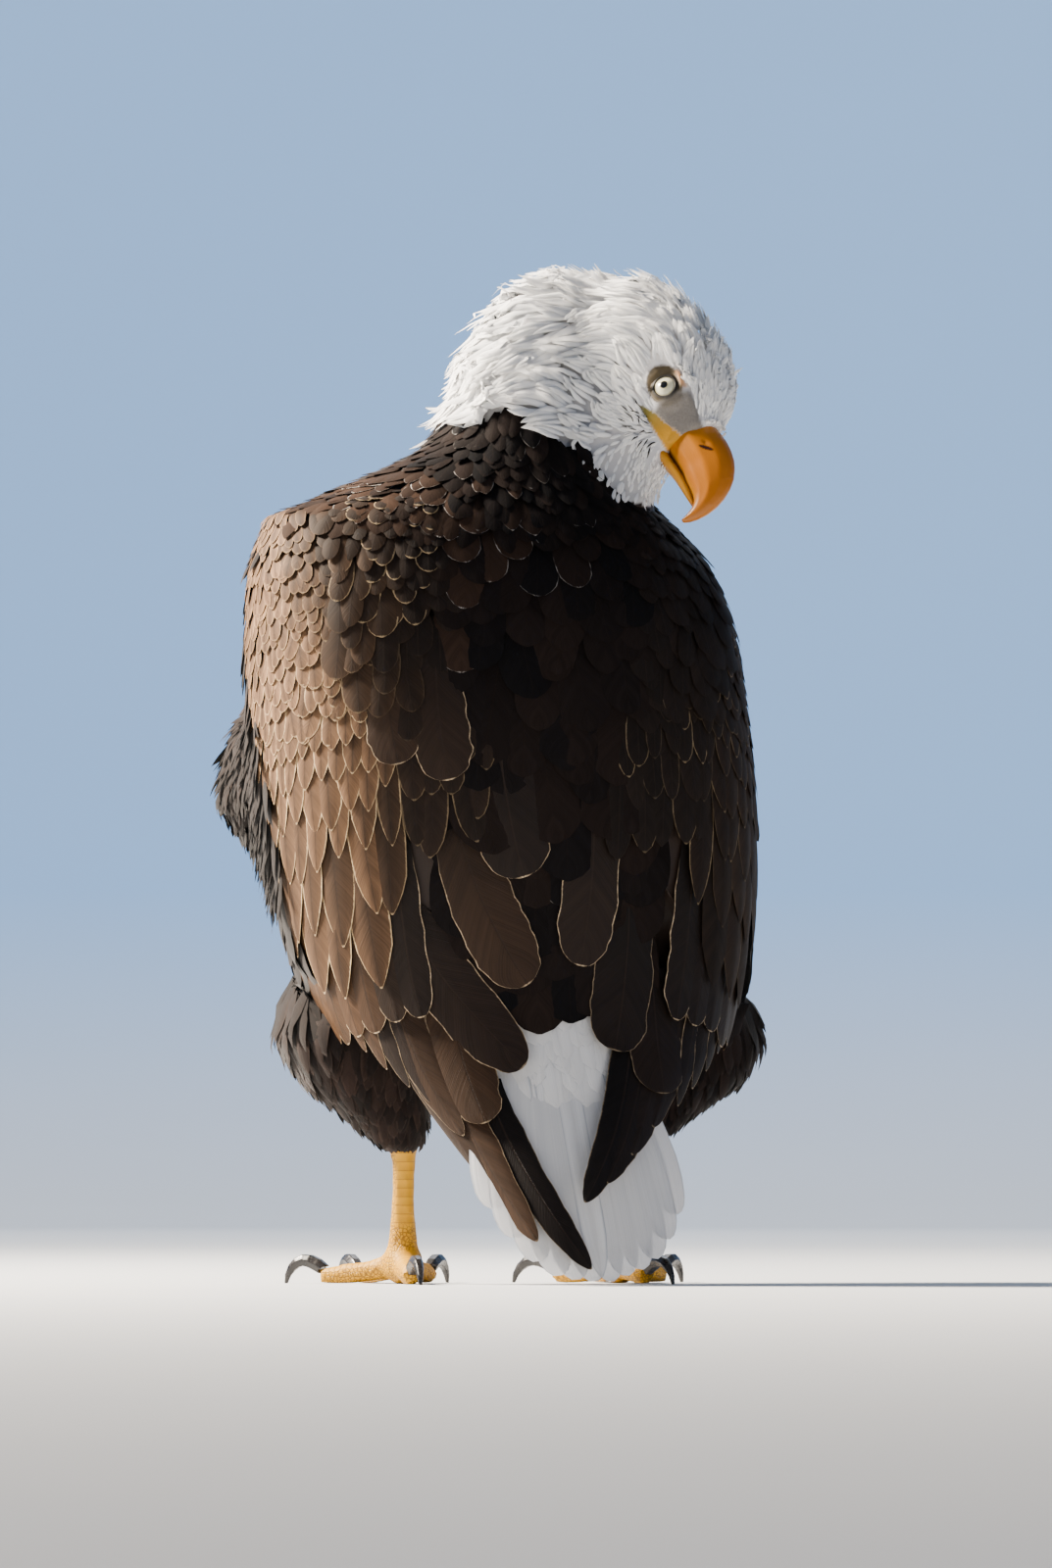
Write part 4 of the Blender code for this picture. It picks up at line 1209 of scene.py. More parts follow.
def unwrapped(points: Array, centre: Vector, axis: Vector, start: Vector) -> Array:
    """Places on the skin's own unwrap: round an axis through the part, and along it, each from 0 to 1.

    Args:
        points: Places, in metres.
        centre: The part's middle.
        axis: The axis that they run along.
        start: The direction that the turn is counted from.

    Returns:
        A row of two for each point.
    """
    rel = points - np.array(centre)
    along = rel @ np.array(axis)
    other = np.array(axis.cross(start))
    turn = np.arctan2(rel @ other, rel @ np.array(start)) / (2 * np.pi) + 0.5
    return np.stack([turn, (along - along.min()) / max(np.ptp(along), 1e-6)], axis=1) * 0.98 + 0.01


def tiled(count: int) -> tuple[Array, float]:
    """Patches side by side for the big feathers of a piece, and their size.

    Args:
        count: How many there are.

    Returns:
        The patches' middles, and the size of one.
    """
    side = math.ceil(math.sqrt(count))
    index = np.arange(count)
    return np.stack([(index % side + 0.5) / side, (index // side + 0.5) / side], axis=1), 0.94 / side


# ---------------------------------------------------------------- the skin

@dataclass
class Hide:
    """The bird's one skin, inside the coat by its depth, with the bare face, the lids and the scaly legs."""

    head: HeadFrame
    finishes: Finishes
    coat_mm: float = 8.5
    face_mm: float = 1.4
    leg_mm: float = 0.6
    eye_aside: float = 20.5
    shank_plate: float = 5.5
    toe_plate: float = 4.2
    leg_nodes: tuple = tuple(
        f"{part}_{side}" for side in ("left", "right")
        for part in ("shank", "foot", "toe_middle", "toe_inner", "toe_outer", "toe_hind"))
    flesh: tuple = ("trunk", "neck", "head", "tail_coverts", "thigh_left", "thigh_right")
    # The lid in profile: out from the eye's axis, and along it from the eye's centre.
    lid: tuple = ((6.7, 8.5), (6.9, 9.2), (7.5, 9.3), (8.4, 8.8), (9.8, 8.0), (11.6, 6.6), (13.0, 4.0))
    ledge_mm: float = 8.0  # how far the ledge over the tail's root is drawn in

    def __post_init__(self) -> None:
        """Wraps the legs, to measure distances from."""
        self.legs = Hull(outside(self.leg_nodes, 2.2, 2))

    def build(self) -> bpy.types.Object:
        """Wraps the flesh, sinks it by the coat's depth, adds the lids and paints the masks.

        Returns:
            The skin.
        """
        crown = outside(("head", "neck", "trunk"), 3.0, 6, 20.0)
        covered = ("wing_left_coverts", "wing_right_coverts")
        mesh = outside((*self.flesh, *self.leg_nodes, *covered), 3.2, 3, within=crown)
        shape = bmesh.new()
        shape.from_mesh(mesh)
        root = np.array(self.head.at(34.0, -6.0, 0.0))
        ends = ((edge, edge.verts[0].co) for edge in shape.edges)
        near = [edge for edge, end in ends if (end - Vector(root)).length < 54 * MM or end.z < 0.1]
        bmesh.ops.subdivide_edges(shape, edges=near, cuts=1, use_grid_fill=True)
        smooth(shape, shape.verts)
        shape.normal_update()
        points = np.array([v.co for v in shape.verts])
        depth = np.minimum(self.coat_mm, self.leg_mm + 0.3 * self.legs.distance(points) / MM)
        from_bill = np.linalg.norm(points - root, axis=1) / MM
        depth = np.minimum(depth, self.face_mm + 0.14 * np.maximum(from_bill - 26.0, 0.0))
        local = self.head.local(points)
        masks = self.head.bareness(local)
        # The ledge over the tail's root is drawn in, under the rump's last feathers.
        level, back = points[:, 2] / MM, points[:, 1] / MM
        ledge = self.ledge_mm * ease(158.0, 168.0, level) * ease(215.0, 195.0, level) * ease(66.0, 80.0, back)
        for vert, deep, bare, drawn in zip(shape.verts, depth, masks["bare"], ledge):
            vert.co -= vert.normal * (deep - 0.7 * bare) * MM
            vert.co.y -= drawn * MM
        self._face(shape)
        smooth(shape, [v for v, d in zip(shape.verts, depth) if d > 3.0], 3)
        shape.verts.layers.float.new("lid")
        for side in Side:
            self._lid(shape, side)
        bmesh.ops.triangulate(shape, faces=[f for f in shape.faces if len(f.verts) > 4])
        shape.to_mesh(mesh)
        shape.free()
        self._paint(mesh)
        mesh.shade_smooth()
        return enlist("skin", mesh, self.finishes.skin, "leg_skin", *self.flesh, *self.leg_nodes)

    def _face(self, shape: bmesh.types.BMesh) -> None:
        """Sets the face flush round each eye, and raises the ridge over it from the lore back.

        Args:
            shape: The bmesh.
        """
        for vert in shape.verts:
            if (vert.co - self.head.middle).length > 50 * MM:
                continue
            ahead, up, right = self.head.local(np.array([vert.co]))[0]
            if abs(right) < 9.0:
                continue
            out = math.hypot(ahead - self.head.eyes_ahead, up)
            flush = self.eye_aside + 8.0 - 0.020 * max(out - 7.0, 0.0) ** 2
            share = float(ease(15.5, 10.0, out))
            wanted = abs(right) * (1 - share) + flush * share
            line = 11.8 - 0.008 * (ahead - 6.0) ** 2
            over_eye = float(ease(-12.0, -2.0, ahead) * ease(28.0, 16.0, ahead))
            ridge = 1.8 * math.exp(-((up - line) / 2.6) ** 2) * over_eye
            vert.co += self.head.right * math.copysign((wanted - abs(right) + ridge) * MM, right)

    def _lid(self, shape: bmesh.types.BMesh, side: Side) -> None:
        """Spins one eye's lid round the eye, and stretches it to an almond.

        Args:
            shape: The bmesh.
            side: The eye's side.
        """
        axis = self.head.right * -side.value
        basis = Matrix((self.head.ahead, self.head.up, axis)).transposed().to_4x4()
        basis.translation = self.head.eyes[side]
        ring = spun([(out * MM, along * MM) for out, along in self.lid], 40)
        for vert in ring.verts:
            x, y, z = vert.co / MM
            out = math.hypot(x, y)
            stretch = max(out - 7.0, 0.0) * 0.08
            vert.co.x = (x + stretch * math.copysign(1.0, x)) * MM
            # The upper lid hangs a little over the eye in front, under the brow.
            over = float(ease(0.0, 1.0, y / max(out, 1e-6))) * float(ease(9.5, 7.0, out))
            vert.co.y = (y - 0.3 * over) * MM
            vert.co.z = (z + 0.4 * over) * MM
        bmesh.ops.recalc_face_normals(ring, faces=ring.faces)
        first = next(iter(ring.faces))
        if first.normal.dot(first.calc_center_median()) < 0:
            bmesh.ops.reverse_faces(ring, faces=ring.faces)
        marks = ring.verts.layers.float.new("lid")
        for vert in ring.verts:
            out = math.hypot(vert.co.x, vert.co.y) / MM
            vert[marks] = float(ease(9.1, 8.1, out))
        bmesh.ops.transform(ring, matrix=basis, verts=ring.verts)
        if Matrix((self.head.ahead, self.head.up, axis)).determinant() < 0:
            bmesh.ops.reverse_faces(ring, faces=ring.faces)
        absorb(shape, meshed(ring, "lid"))

    def _paint(self, mesh: bpy.types.Mesh) -> None:
        """Stores the masks that the skin's finish reads.

        Args:
            mesh: The mesh.
        """
        points, normals = coordinates(mesh)
        masks = self.head.bareness(self.head.local(points))
        masks.pop("bare")
        legs = self.legs.distance(points) / MM
        masks["leg"] = ease(9.0, 4.0, legs)
        masks["plate"], masks["plated"] = self._plates(points, normals)
        end = self.head.white_end(points) * MM
        tail = (points[:, 2] < 0.165) & (points[:, 1] > 0.045)
        masks["white"] = ((points[:, 2] > end) | tail) * (1 - masks["leg"])
        near = np.linalg.norm(points - np.array(self.head.middle), axis=1) < 60 * MM
        far_too = ("leg", "white", "plate", "plated")
        store(mesh, {name: values if name in far_too else values * near for name, values in masks.items()})

    def _plates(self, points: Array, normals: Array) -> tuple[Array, Array]:
        """Counts the broad plates down each shank and out along each toe.

        Args:
            points: The skin's points.
            normals: Their normals.

        Returns:
            The count of plates at each point, and how far they cover the skin there.
        """
        count = points[:, 2] / MM / self.shank_plate
        cover = ease(0.2, 0.6, np.abs(normals[:, 1])) * ease(34.0, 40.0, points[:, 2] / MM)
        nearest = np.full(len(points), np.inf)
        for side in Side:
            middle = middle_of(f"foot_{side.word}")
            for toe in ("middle", "inner", "outer", "hind"):
                end = middle_of(f"claw_{toe}_{side.word}")
                run = Vector((end.x - middle.x, end.y - middle.y, 0.0))
                rel = (points - np.array(middle))[:, :2]
                along = rel @ np.array(run.normalized())[:2]
                aside = np.abs(rel @ np.array((-run.y, run.x))) / run.length
                here = (along > 0) & (along < run.length) & (aside < nearest) & (points[:, 2] < 0.034)
                nearest = np.where(here, aside, nearest)
                count = np.where(here, along / MM / self.toe_plate, count)
        toes = np.isfinite(nearest) & (points[:, 2] < 0.034)
        cover = np.where(toes, ease(0.25, 0.6, normals[:, 2]) * ease(0.012, 0.009, nearest), cover)
        return count, cover


@dataclass
class Talons:
    """The eight hooked claws."""

    finishes: Finishes
    voxel_mm: float = 0.6
    rounding: int = 4  # how many times a claw is smoothed

    def build(self) -> None:
        """Rounds each claw and gives it its horn."""
        for side in Side:
            for toe in ("middle", "inner", "outer", "hind"):
                node = f"claw_{toe}_{side.word}"
                mesh = outside((node,), self.voxel_mm, self.rounding)
                mesh.shade_smooth()
                enlist(node + "_horn", mesh, self.finishes.claw, "claw_horn", node)


# ---------------------------------------------------------------- bill and eyes

@dataclass
class Bill:
    """The hooked upper bill with its cere and nostrils, and the lower bill that closes into it."""

    head: HeadFrame
    finishes: Finishes
    nostril: tuple[float, float] = (51.0, 5.0)  # ahead and up
    nostril_half: tuple[float, float] = (4.8, 1.3)  # half its length and height
    nostril_slant: float = 46.0  # degrees
    closing_mm: float = 1.8  # how far the lower bill rises into the upper at its tip

    def build(self) -> None:
        """Builds the upper bill in one with its cere, and the lower bill."""
        for nodes in (("bill_upper", "cere"), ("bill_lower",)):
            mesh = outside(nodes, 0.7, 6)
            self._smooth(mesh, nodes[0] == "bill_lower")
            self._paint(mesh)
            mesh.shade_smooth()
            enlist(nodes[0] + "_horn", mesh, self.finishes.bill, "bill_horn", *nodes)

    def _smooth(self, mesh: bpy.types.Mesh, lower: bool) -> None:
        """Smooths all but the hook, and closes the lower bill up into the upper.

        Args:
            mesh: The bill's mesh, in place.
            lower: Whether it is the lower bill.
        """
        shape = bmesh.new()
        shape.from_mesh(mesh)
        ahead, up, _ = self.head.local(np.array([v.co for v in shape.verts])).T
        body = [v for v, a, u in zip(shape.verts, ahead, up) if a < 74.0 and u > -16.0]
        smooth(shape, body, 16)
        if lower:
            for vert, a in zip(shape.verts, ahead):
                vert.co += self.head.up * float(ease(36.0, 60.0, a)) * self.closing_mm * MM
        shape.to_mesh(mesh)
        shape.free()

    def _paint(self, mesh: bpy.types.Mesh) -> None:
        """Stores the places along the bill, the pale cutting edge and the nostril, whose opening is painted
        dark as shade.

        Args:
            mesh: The mesh.
        """
        points, _ = coordinates(mesh)
        ahead, up, _ = self.head.local(points).T
        turn = math.radians(self.nostril_slant)
        x, y = ahead - self.nostril[0], up - self.nostril[1]
        along, over = x * math.cos(turn) + y * math.sin(turn), y * math.cos(turn) - x * math.sin(turn)
        out = np.hypot(along / self.nostril_half[0], over / self.nostril_half[1])
        store(mesh, {
            "ahead": ahead / 88.0, "up": up / 20.0, "nostril": ease(1.15, 0.85, out),
            "pale": 0.6 * ease(-12.5, -17.0, up) * ease(82.0, 70.0, ahead) * ease(34.0, 42.0, ahead),
        })


@dataclass
class Eyes:
    """Two wet eyes, each a ball with a slight swell over the iris."""

    head: HeadFrame
    finishes: Finishes
    swell_mm: float = 0.7
    swell_out: float = 7.2  # how far from the axis it begins
    hidden: float = 30.0  # added to the distance from the axis on the back half, where there is no iris

    def build(self) -> None:
        """Builds both eyes in their sockets."""
        for side in Side:
            name = f"eye_{side.word}"
            low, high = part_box(name)
            radius = (high - low).length / math.sqrt(3) / 2
            axis = self.head.right * -side.value
            ball = bmesh.new()
            bmesh.ops.create_uvsphere(ball, u_segments=48, v_segments=32, radius=radius)
            for vert in ball.verts:
                out = math.hypot(vert.co.x, vert.co.y)
                if vert.co.z > 0:
                    vert.co.z += self.swell_mm * MM * float(ease(self.swell_out * MM, 0.0, out))
            turn = UPRIGHT.rotation_difference(axis).to_matrix().to_4x4()
            turn.translation = self.head.eyes[side]
            bmesh.ops.transform(ball, matrix=turn, verts=ball.verts)
            mesh = meshed(ball, name)
            points, _ = coordinates(mesh)
            rel = points - np.array(self.head.eyes[side])
            before = rel @ np.array(axis)
            flat = rel - np.outer(before, np.array(axis))
            out = np.linalg.norm(flat, axis=1) / MM + np.where(before < 0, self.hidden, 0.0)
            store(mesh, {"from_axis_mm": out})
            spokes = mesh.attributes.new("spoke", "FLOAT_VECTOR", "POINT")
            spokes.data.foreach_set("vector", (unit(flat) * 3).astype(np.float32).reshape(-1))
            mesh.shade_smooth()
            enlist(name + "_ball", mesh, self.finishes.eye, "eye", name)


# ---------------------------------------------------------------- the coat

@dataclass
class Plumage:
    """All of the small feathers of head, neck, body and legs."""

    head: HeadFrame
    form: BodyForm
    finishes: Finishes
    # Where the mantle gives way to the wing's coverts: millimetres round from the midline, over the height.
    mantle_edge: tuple = ((290, 112), (321, 107), (347, 118), (389, 130), (399, 143), (437, 154), (482, 160),
                          (490, 155), (511, 125))
    # The lowest roots on the back, over the distance from the midline.
    mantle_low: tuple = ((0, 335), (50, 345), (75, 382), (110, 396), (200, 410))
    # A white feather's length over the distance from the bill.
    white_length: tuple = ((0, 3.4), (20, 5.0), (40, 9.0), (60, 14.0), (85, 22.0), (115, 32.0), (160, 40.0))
    bristle_length: float = 6.5
    tail_covert_length: float = 72.0

    def __post_init__(self) -> None:
        """Wraps the parts of the body to lay feathers on."""
        self.crown = Hull(outside(("head", "neck", "trunk"), 3.0, 6, 20.0))
        self.body = Hull(outside(("trunk", "neck", "wing_left_coverts", "wing_right_coverts"), 5.0, 10))
        self.plane = Hull(self.form.surface())
        self.random = np.random.default_rng(SEED)

    def head_lie(self, points: Array) -> Array:
        """Away from the bill over the head, then round the bend of the neck and down.

        Args:
            points: Places, in metres.

        Returns:
            A direction for each place.
        """
        pole = np.array(self.head.at(62.0, -6.0, 0.0))
        away = unit(points - pole)
        rel = points - np.array(self.head.corner)
        aside, up = rel @ np.array(self.head.aside), rel[:, 2]
        size = np.maximum(np.hypot(aside, up), 1e-6)
        round_bend = (-np.outer(up / size, np.array(self.head.aside)) + np.outer(aside / size, (0, 0, 1.0)))
        share = ease(-6.0, -52.0, self.head.local(points)[:, 0])[:, None]
        flow = unit(away * (1 - share) + round_bend * share)
        fall = ease(0.575, 0.515, points[:, 2]) * ease(20.0, -10.0, self.head.local(points)[:, 0])
        fall = fall[:, None]
        flow = unit(flow * (1 - 0.75 * fall) - np.array(UPRIGHT) * 0.75 * fall)
        # In the bend of the throat they hang.
        hang = self.bend(points)[:, None]
        return unit(flow * (1 - hang) - (np.array(UPRIGHT) + 0.35 * np.array(self.head.aside)) * hang)

    def bend(self, points: Array) -> Array:
        """How near points are to the bend of the throat, from 0 to 1."""
        rel = points - np.array(self.head.corner)
        return ease(52.0, 24.0, np.hypot(rel @ np.array(self.head.aside), rel[:, 2]) / MM)

    def from_bill(self, points: Array) -> Array:
        """Millimetres from the root of the bill."""
        return np.linalg.norm(points - np.array(self.head.at(38.0, -8.0, 0.0)), axis=1) / MM

    def head_length(self, points: Array) -> Array:
        """A white feather's length: longer with the distance from the bill."""
        return table(self.white_length, self.from_bill(points)) * (1.0 - 0.25 * self.bend(points))

    def build_head(self) -> None:
        """Lays the white feathers: very short at the bill, and long loose hackles down the nape."""
        def spacing(points: Array) -> Array:
            """Close enough for three layers, with none on bare skin, at the bill or below the white's end.

            Args:
                points: Places, in metres.

            Returns:
                Millimetres between roots at each place.
            """
            local = self.head.local(points)
            length = self.head_length(points)
            bare = self.head.bareness(local)["bare"] > 0.45
            bill = (local[:, 0] > 36.5) & (local[:, 1] > -20.0)
            ended = points[:, 2] / MM - 0.45 * length < self.head.white_end(points)
            far = (local[:, 0] < -130.0) | (points[:, 2] < 0.47)
            # The throat hangs free of the skin where the neck bends, so it takes twice as many.
            close = 1.0 - 0.3 * self.bend(points)
            none = bare | bill | ended & (self.from_bill(points) > 38.0) | far
            return np.where(none, 0.0, (0.7 + 0.108 * length) * close)

        roots = self.crown.spread(spacing, SEED + 1)
        far = self.from_bill(roots)
        blank = Blank(2, 6, 1.3)
        for name, chosen, cut, slim, lift, unrest, depth, clump, pull in (
            ("face_feathers", far < 52.0, Cut.LANCE, 0.15, 0.05, 0.10, 2.0, 0.0, 0.0),
            ("neck_hackles", far >= 52.0, Cut.HACKLE, 0.10, 0.14, 0.14, 4.0, 13.0, 0.6),
        ):
            here = roots[chosen]
            tract = Tract(self.crown, self.head_lie, self.head_length, slim, depth, lift, unrest, 0.28, 0.35,
                          cut, self.head_rise, clump, lambda p, most=pull: most * (1.0 - self.bend(p)))
            points, wide, lengths = tract.lay(blank, here, self.random)
            local = self.head.local(here)
            crown = ease(8.0, 22.0, local[:, 1]) * ease(-50.0, -20.0, local[:, 0])
            count = len(here)
            slits = self.random.random(count) < 0.10 * crown + 0.012
            slits = slits * self.random.uniform(0.4, 1.0, count)
            marks = {"own": self.random.random(count), "fleck": slits}
            coat = Coat(name)
            coat.gather(blank, points, wide, lengths, marks, self._head_patches(here), TUFT_PATCH)
            if name == "neck_hackles":
                self._throat(coat, blank, here)
            coat.join(self.finishes.white, "white_plumage")
        self._bristles(blank)

    def head_rise(self, points: Array) -> Array:
        """Millimetres that a white feather lies off the hull: round the eye, and over the brown.

        Args:
            points: Places, in metres.

        Returns:
            Millimetres for each place.
        """
        ahead, up, _ = self.head.local(points).T
        eye = ease(18.5, 14.0, np.hypot(ahead - self.head.eyes_ahead, up))
        end = ease(60.0, 10.0, points[:, 2] / MM - self.head.white_end(points))
        return 2.2 * eye + (1.0 + 2.0 * end) * ease(52.0, 90.0, self.from_bill(points))

    def _throat(self, coat: Coat, blank: Blank, hackles: Array) -> None:
        """Lays broad feathers under the hackles where the throat hangs free in the bend of the neck.

        Args:
            coat: The piece that takes them.
            blank: The sheet to lay.
            hackles: The hackles' roots.
        """
        roots = hackles[self.bend(hackles) > 0.0]
        tract = Tract(self.crown, self.head_lie, self.head_length, 0.34, 1.0, 0.0, 0.05, 0.25, 0.1,
                      Cut.CONTOUR, lambda p: np.full(len(p), -1.5))
        points, wide, lengths = tract.lay(blank, roots, self.random)
        marks = {"own": self.random.random(len(roots)), "fleck": np.zeros(len(roots))}
        coat.gather(blank, points, wide, lengths, marks, self._head_patches(roots), TUFT_PATCH)

    def _head_patches(self, roots: Array) -> Array:
        """Places on the unwrap of the head and neck."""
        return unwrapped(roots, self.head.at(-30, 0, 0), self.head.ahead, self.head.up)

    def _bristles(self, blank: Blank) -> None:
        """Lays the short black bristles on the cheek under the gape.

        Args:
            blank: The sheet to lay.
        """
        def spacing(points: Array) -> Array:
            """Only in a patch below the gape, thinner towards its edge.

            Args:
                points: Places, in metres.

            Returns:
                Millimetres between roots at each place.
            """
            ahead, up, right = self.head.local(points).T
            out = np.hypot((ahead - 22.0) / 17.0, (up + 26.0) / 8.0)
            return np.where((out < 1.0) & (np.abs(right) > 6.0), 2.2 + 1.8 * out, 0.0)

        roots = self.crown.spread(spacing, SEED + 5)
        tract = Tract(self.crown, self.head_lie, lambda p: np.full(len(p), self.bristle_length), 0.07, -1.0,
                      0.12, 0.45, 0.2, 0.3, Cut.HACKLE)
        points, wide, lengths = tract.lay(blank, roots, self.random)
        count = len(roots)
        coat = Coat("cheek_bristles")
        marks = {"own": self.random.random(count), "sun": self.random.random(count), "rim": np.zeros(count)}
        coat.gather(blank, points, wide, lengths, marks, self._head_patches(roots), TUFT_PATCH)
        coat.join(self.finishes.bristle, "white_plumage")

    def build_body(self) -> None:
        """Lays the brown feathers of mantle, breast, belly and flanks."""
        blank = Blank(4, 9, 1.5)

        def lie(points: Array) -> Array:
            """Down, and a little away from the neck on the shoulders.

            Args:
                points: Places, in metres.

            Returns:
                A direction for each place.
            """
            out = points * np.array([1.0, 1.0, 0.0])
            spread = ease(0.44, 0.53, points[:, 2])[:, None]
            return unit(np.array([0.0, 0.0, -1.0]) + out / 0.1 * 0.55 * spread)

        def length(points: Array) -> Array:
            """Short at the neck, and longest down the back.

            Args:
                points: Places, in metres.

            Returns:
                Millimetres for each place.
            """
            down = (0.55 - points[:, 2]) / MM
            behind = table(((0, 26), (40, 32), (80, 44), (130, 62), (190, 76)), down)
            before = table(((0, 24), (60, 34), (140, 42), (240, 52), (400, 56)), down)
            share = ease(-0.05, 0.03, points[:, 1])
            return behind * share + before * (1 - share)

        body, plane = self.body.points, self.plane.points
        around, _ = self.form.where(body)
        aside, height = np.abs(around), body[:, 2] / MM
        high = height > self.head.white_end(body) + 10.0
        on_neck = (height > 492.0) & ~high & (body[:, 1] > -0.02)
        ahead = (aside > table(Wing.front_edge, height) - 14.0) | (height > 478.0) & (body[:, 1] < -0.02)
        on_breast = ahead & (height > 165.0) & ~high & (body[:, 1] < 0.06) & ~on_neck
        flank = (body[:, 0] > 0.09) & (height > 262.0) & (height < 375.0) & on_breast & (aside < 345.0)
        round_mm, level = np.abs(np.tile(self.form.round, len(self.form.heights))), plane[:, 2] / MM
        edge = table(self.mantle_edge, level) - 16.0 - 10.0 * ease(420.0, 460.0, level)
        on_back = (round_mm < edge) & (level > table(self.mantle_low, round_mm)) & (level < 505.0)
        on_rump = (round_mm < 64.0) & (level > 243.0) & (level < 345.0)
        scapular = on_back & (round_mm > 62.0)
        on_back &= ~scapular

        def over(points: Array) -> Array:
            """Clear of the wing's coverts where they run under.

            Args:
                points: Places, in metres.

            Returns:
                Millimetres for each place.
            """
            around, z = self.form.where(points)
            rear = table(Wing.rear_edge, z)
            return 1.2 + 3.4 * ease(rear - 30.0, rear, np.abs(around))

        low, deep = (lambda points, mm=mm: np.full(len(points), mm) for mm in (1.4, -2.0))
        short = lambda points: 0.62 * length(points)
        dark, pale, fluff = self.finishes.mantle, self.finishes.brown, self.finishes.fluff
        breast = on_breast & ~flank
        full = Cut.CONTOUR
        for name, hull, chosen, reach, gap, slim, lift, unrest, rise, cut, finish in (
            ("mantle_feathers", self.plane, on_back, length, 0.27, 0.29, 0.008, 0.13, over, full, dark),
            ("scapular_feathers", self.plane, scapular, short, 0.26, 0.25, 0.01, 0.11, over, full, pale),
            ("rump_feathers", self.plane, on_rump, length, 0.17, 0.28, 0.0, 0.03, deep, full, dark),
            ("neck_base_feathers", self.body, on_neck, length, 0.19, 0.24, 0.006, 0.12, low, Cut.LANCE, dark),
            ("breast_feathers", self.body, breast, length, 0.19, 0.20, 0.03, 0.12, low, full, fluff),
            ("flank_down", self.body, flank, short, 0.10, 0.15, 0.12, 0.34, low, Cut.DOWN, fluff),
        ):
            close = np.where(chosen, gap * reach(hull.points), 0.0)
            roots = hull.spread(lambda points, gaps=close: gaps, SEED + 2)
            roots = roots + self.random.uniform(-1.5, 1.5, roots.shape) * MM
            tract = Tract(hull, lie, reach, slim, 4.5, lift, unrest, 0.32, 0.12, cut, rise)
            points, wide, lengths = tract.lay(blank, roots, self.random)
            count = len(roots)
            # Between the shoulders many tips are ruffled and worn grey, and the left side is the browner. The
            # lit feathers also take a lighter tone and pale rims as painted glints.
            across, level = roots @ np.array(self.head.aside) / MM, roots[:, 2] / MM
            tall = ease(428, 440, level) * ease(530, 515, level)
            tall = tall * ease(-108, -95, across) * ease(18, 2, across)
            # Painted highlight: the lit feathers' pale rims and lighter tone stand partly for glints on their
            # tips.
            lit = self.random.random(count) < 0.10 + 0.35 * tall
            brown = ease(-20.0, -90.0, across) * ease(300.0, 420.0, level)
            sun = self.random.uniform(0.0, 0.12, count) + brown * self.random.uniform(0.05, 0.4, count)
            sun = sun + 0.2 * tall * lit
            rim = lit * self.random.uniform(0.2, 0.3 + 0.55 * tall, count)
            if name == "scapular_feathers":
                # On the bird's left, the lit side, the scapulars are browner with pale rims, partly bleaching
                # and wear and partly painted sheen. On the right they stay dark, as painted shade.
                near = ease(70.0, 135.0, self.form.where(roots)[0])
                sun = 0.02 + near * self.random.uniform(0.03, 0.24, count)
                rim = near * self.random.uniform(0.05, 0.35, count) * ease(450, 380, level)
                rim = rim + 0.4 * tall * lit
            marks = {"own": self.random.random(count), "sun": sun, "rim": rim}
            coat = Coat(name)
            patches = unwrapped(roots, Vector(), UPRIGHT, LEFTWARD)
            coat.gather(blank, points, wide, lengths, marks, patches, TUFT_PATCH)
            coat.join(finish, "body_plumage")

    def build_trousers(self) -> None:
        """Lays the loose dark feathers of the thighs down to the ankles."""
        blank = Blank(2, 7, 1.2)
        for side in Side:
            name = f"thigh_{side.word}"
            hull = Hull(outside((name,), 4.0, 6))

            def length(points: Array) -> Array:
                """Shorter towards the ankle."""
                return table(((80, 18), (120, 32), (200, 48), (270, 52)), points[:, 2] / MM)

            def lie(points: Array) -> Array:
                """Down and a little back."""
                return np.tile(np.array([[0.0, 0.12, -1.0]]), (len(points), 1))

            roots = hull.spread(lambda p: 0.13 * length(p), SEED + 3 + side.value)
            tract = Tract(hull, lie, length, 0.15, 6.0, 0.06, 0.16, 0.3, 0.3, Cut.LANCE, None, 15.0)
            points, wide, lengths = tract.lay(blank, roots, self.random)
            count = len(roots)
            marks = {"own": self.random.random(count), "sun": self.random.uniform(0.0, 0.35, count),
                     "rim": self.random.uniform(0.0, 0.4, count)}
            coat = Coat(f"trouser_feathers_{side.word}")
            patches = unwrapped(roots, middle_of(name), UPRIGHT, LEFTWARD)
            coat.gather(blank, points, wide, lengths, marks, patches, TUFT_PATCH)
            coat.join(self.finishes.fluff, "body_plumage")

    def build_tail_coverts(self) -> None:
        """Lays the white feathers over and under the root of the tail."""
        hull = Hull(outside(("tail_coverts",), 3.5, 8))
        down = unit(np.array([[-12.0, 92.5, -240.0]]))
        tract = Tract(hull, lambda p: np.tile(down, (len(p), 1)),
                      lambda p: np.full(len(p), self.tail_covert_length), 0.17, 4.0, 0.0, 0.06, 0.25, 0.25)
        roots = hull.spread(lambda p: np.where(p[:, 2] > 0.165, 8.0, 0.0), SEED + 8)
        blank = Blank(4, 8, 1.3)
        points, wide, lengths = tract.lay(blank, roots, self.random)
        coat = Coat("tail_covert_feathers")
        marks = {"own": self.random.random(len(roots)), "fleck": np.zeros(len(roots))}
        patches = unwrapped(roots, middle_of("tail_coverts"), UPRIGHT, LEFTWARD)
        coat.gather(blank, points, wide, lengths, marks, patches, TUFT_PATCH)
        coat.join(self.finishes.stained_and_shaded, "white_plumage")


# ---------------------------------------------------------------- wings

@dataclass(frozen=True)
class Big:
    """One big feather of a wing or the tail, by its places on the opened-out body, in millimetres."""

    root: tuple[float, float]
    tip: tuple[float, float]
    half_width: float
    layer: float  # how far out from the body it lies
    sun: float = 0.1
    rim: float = 0.5
    bow: float = 0.0  # how far its middle bends round
    cut: Cut = Cut.FLIGHT


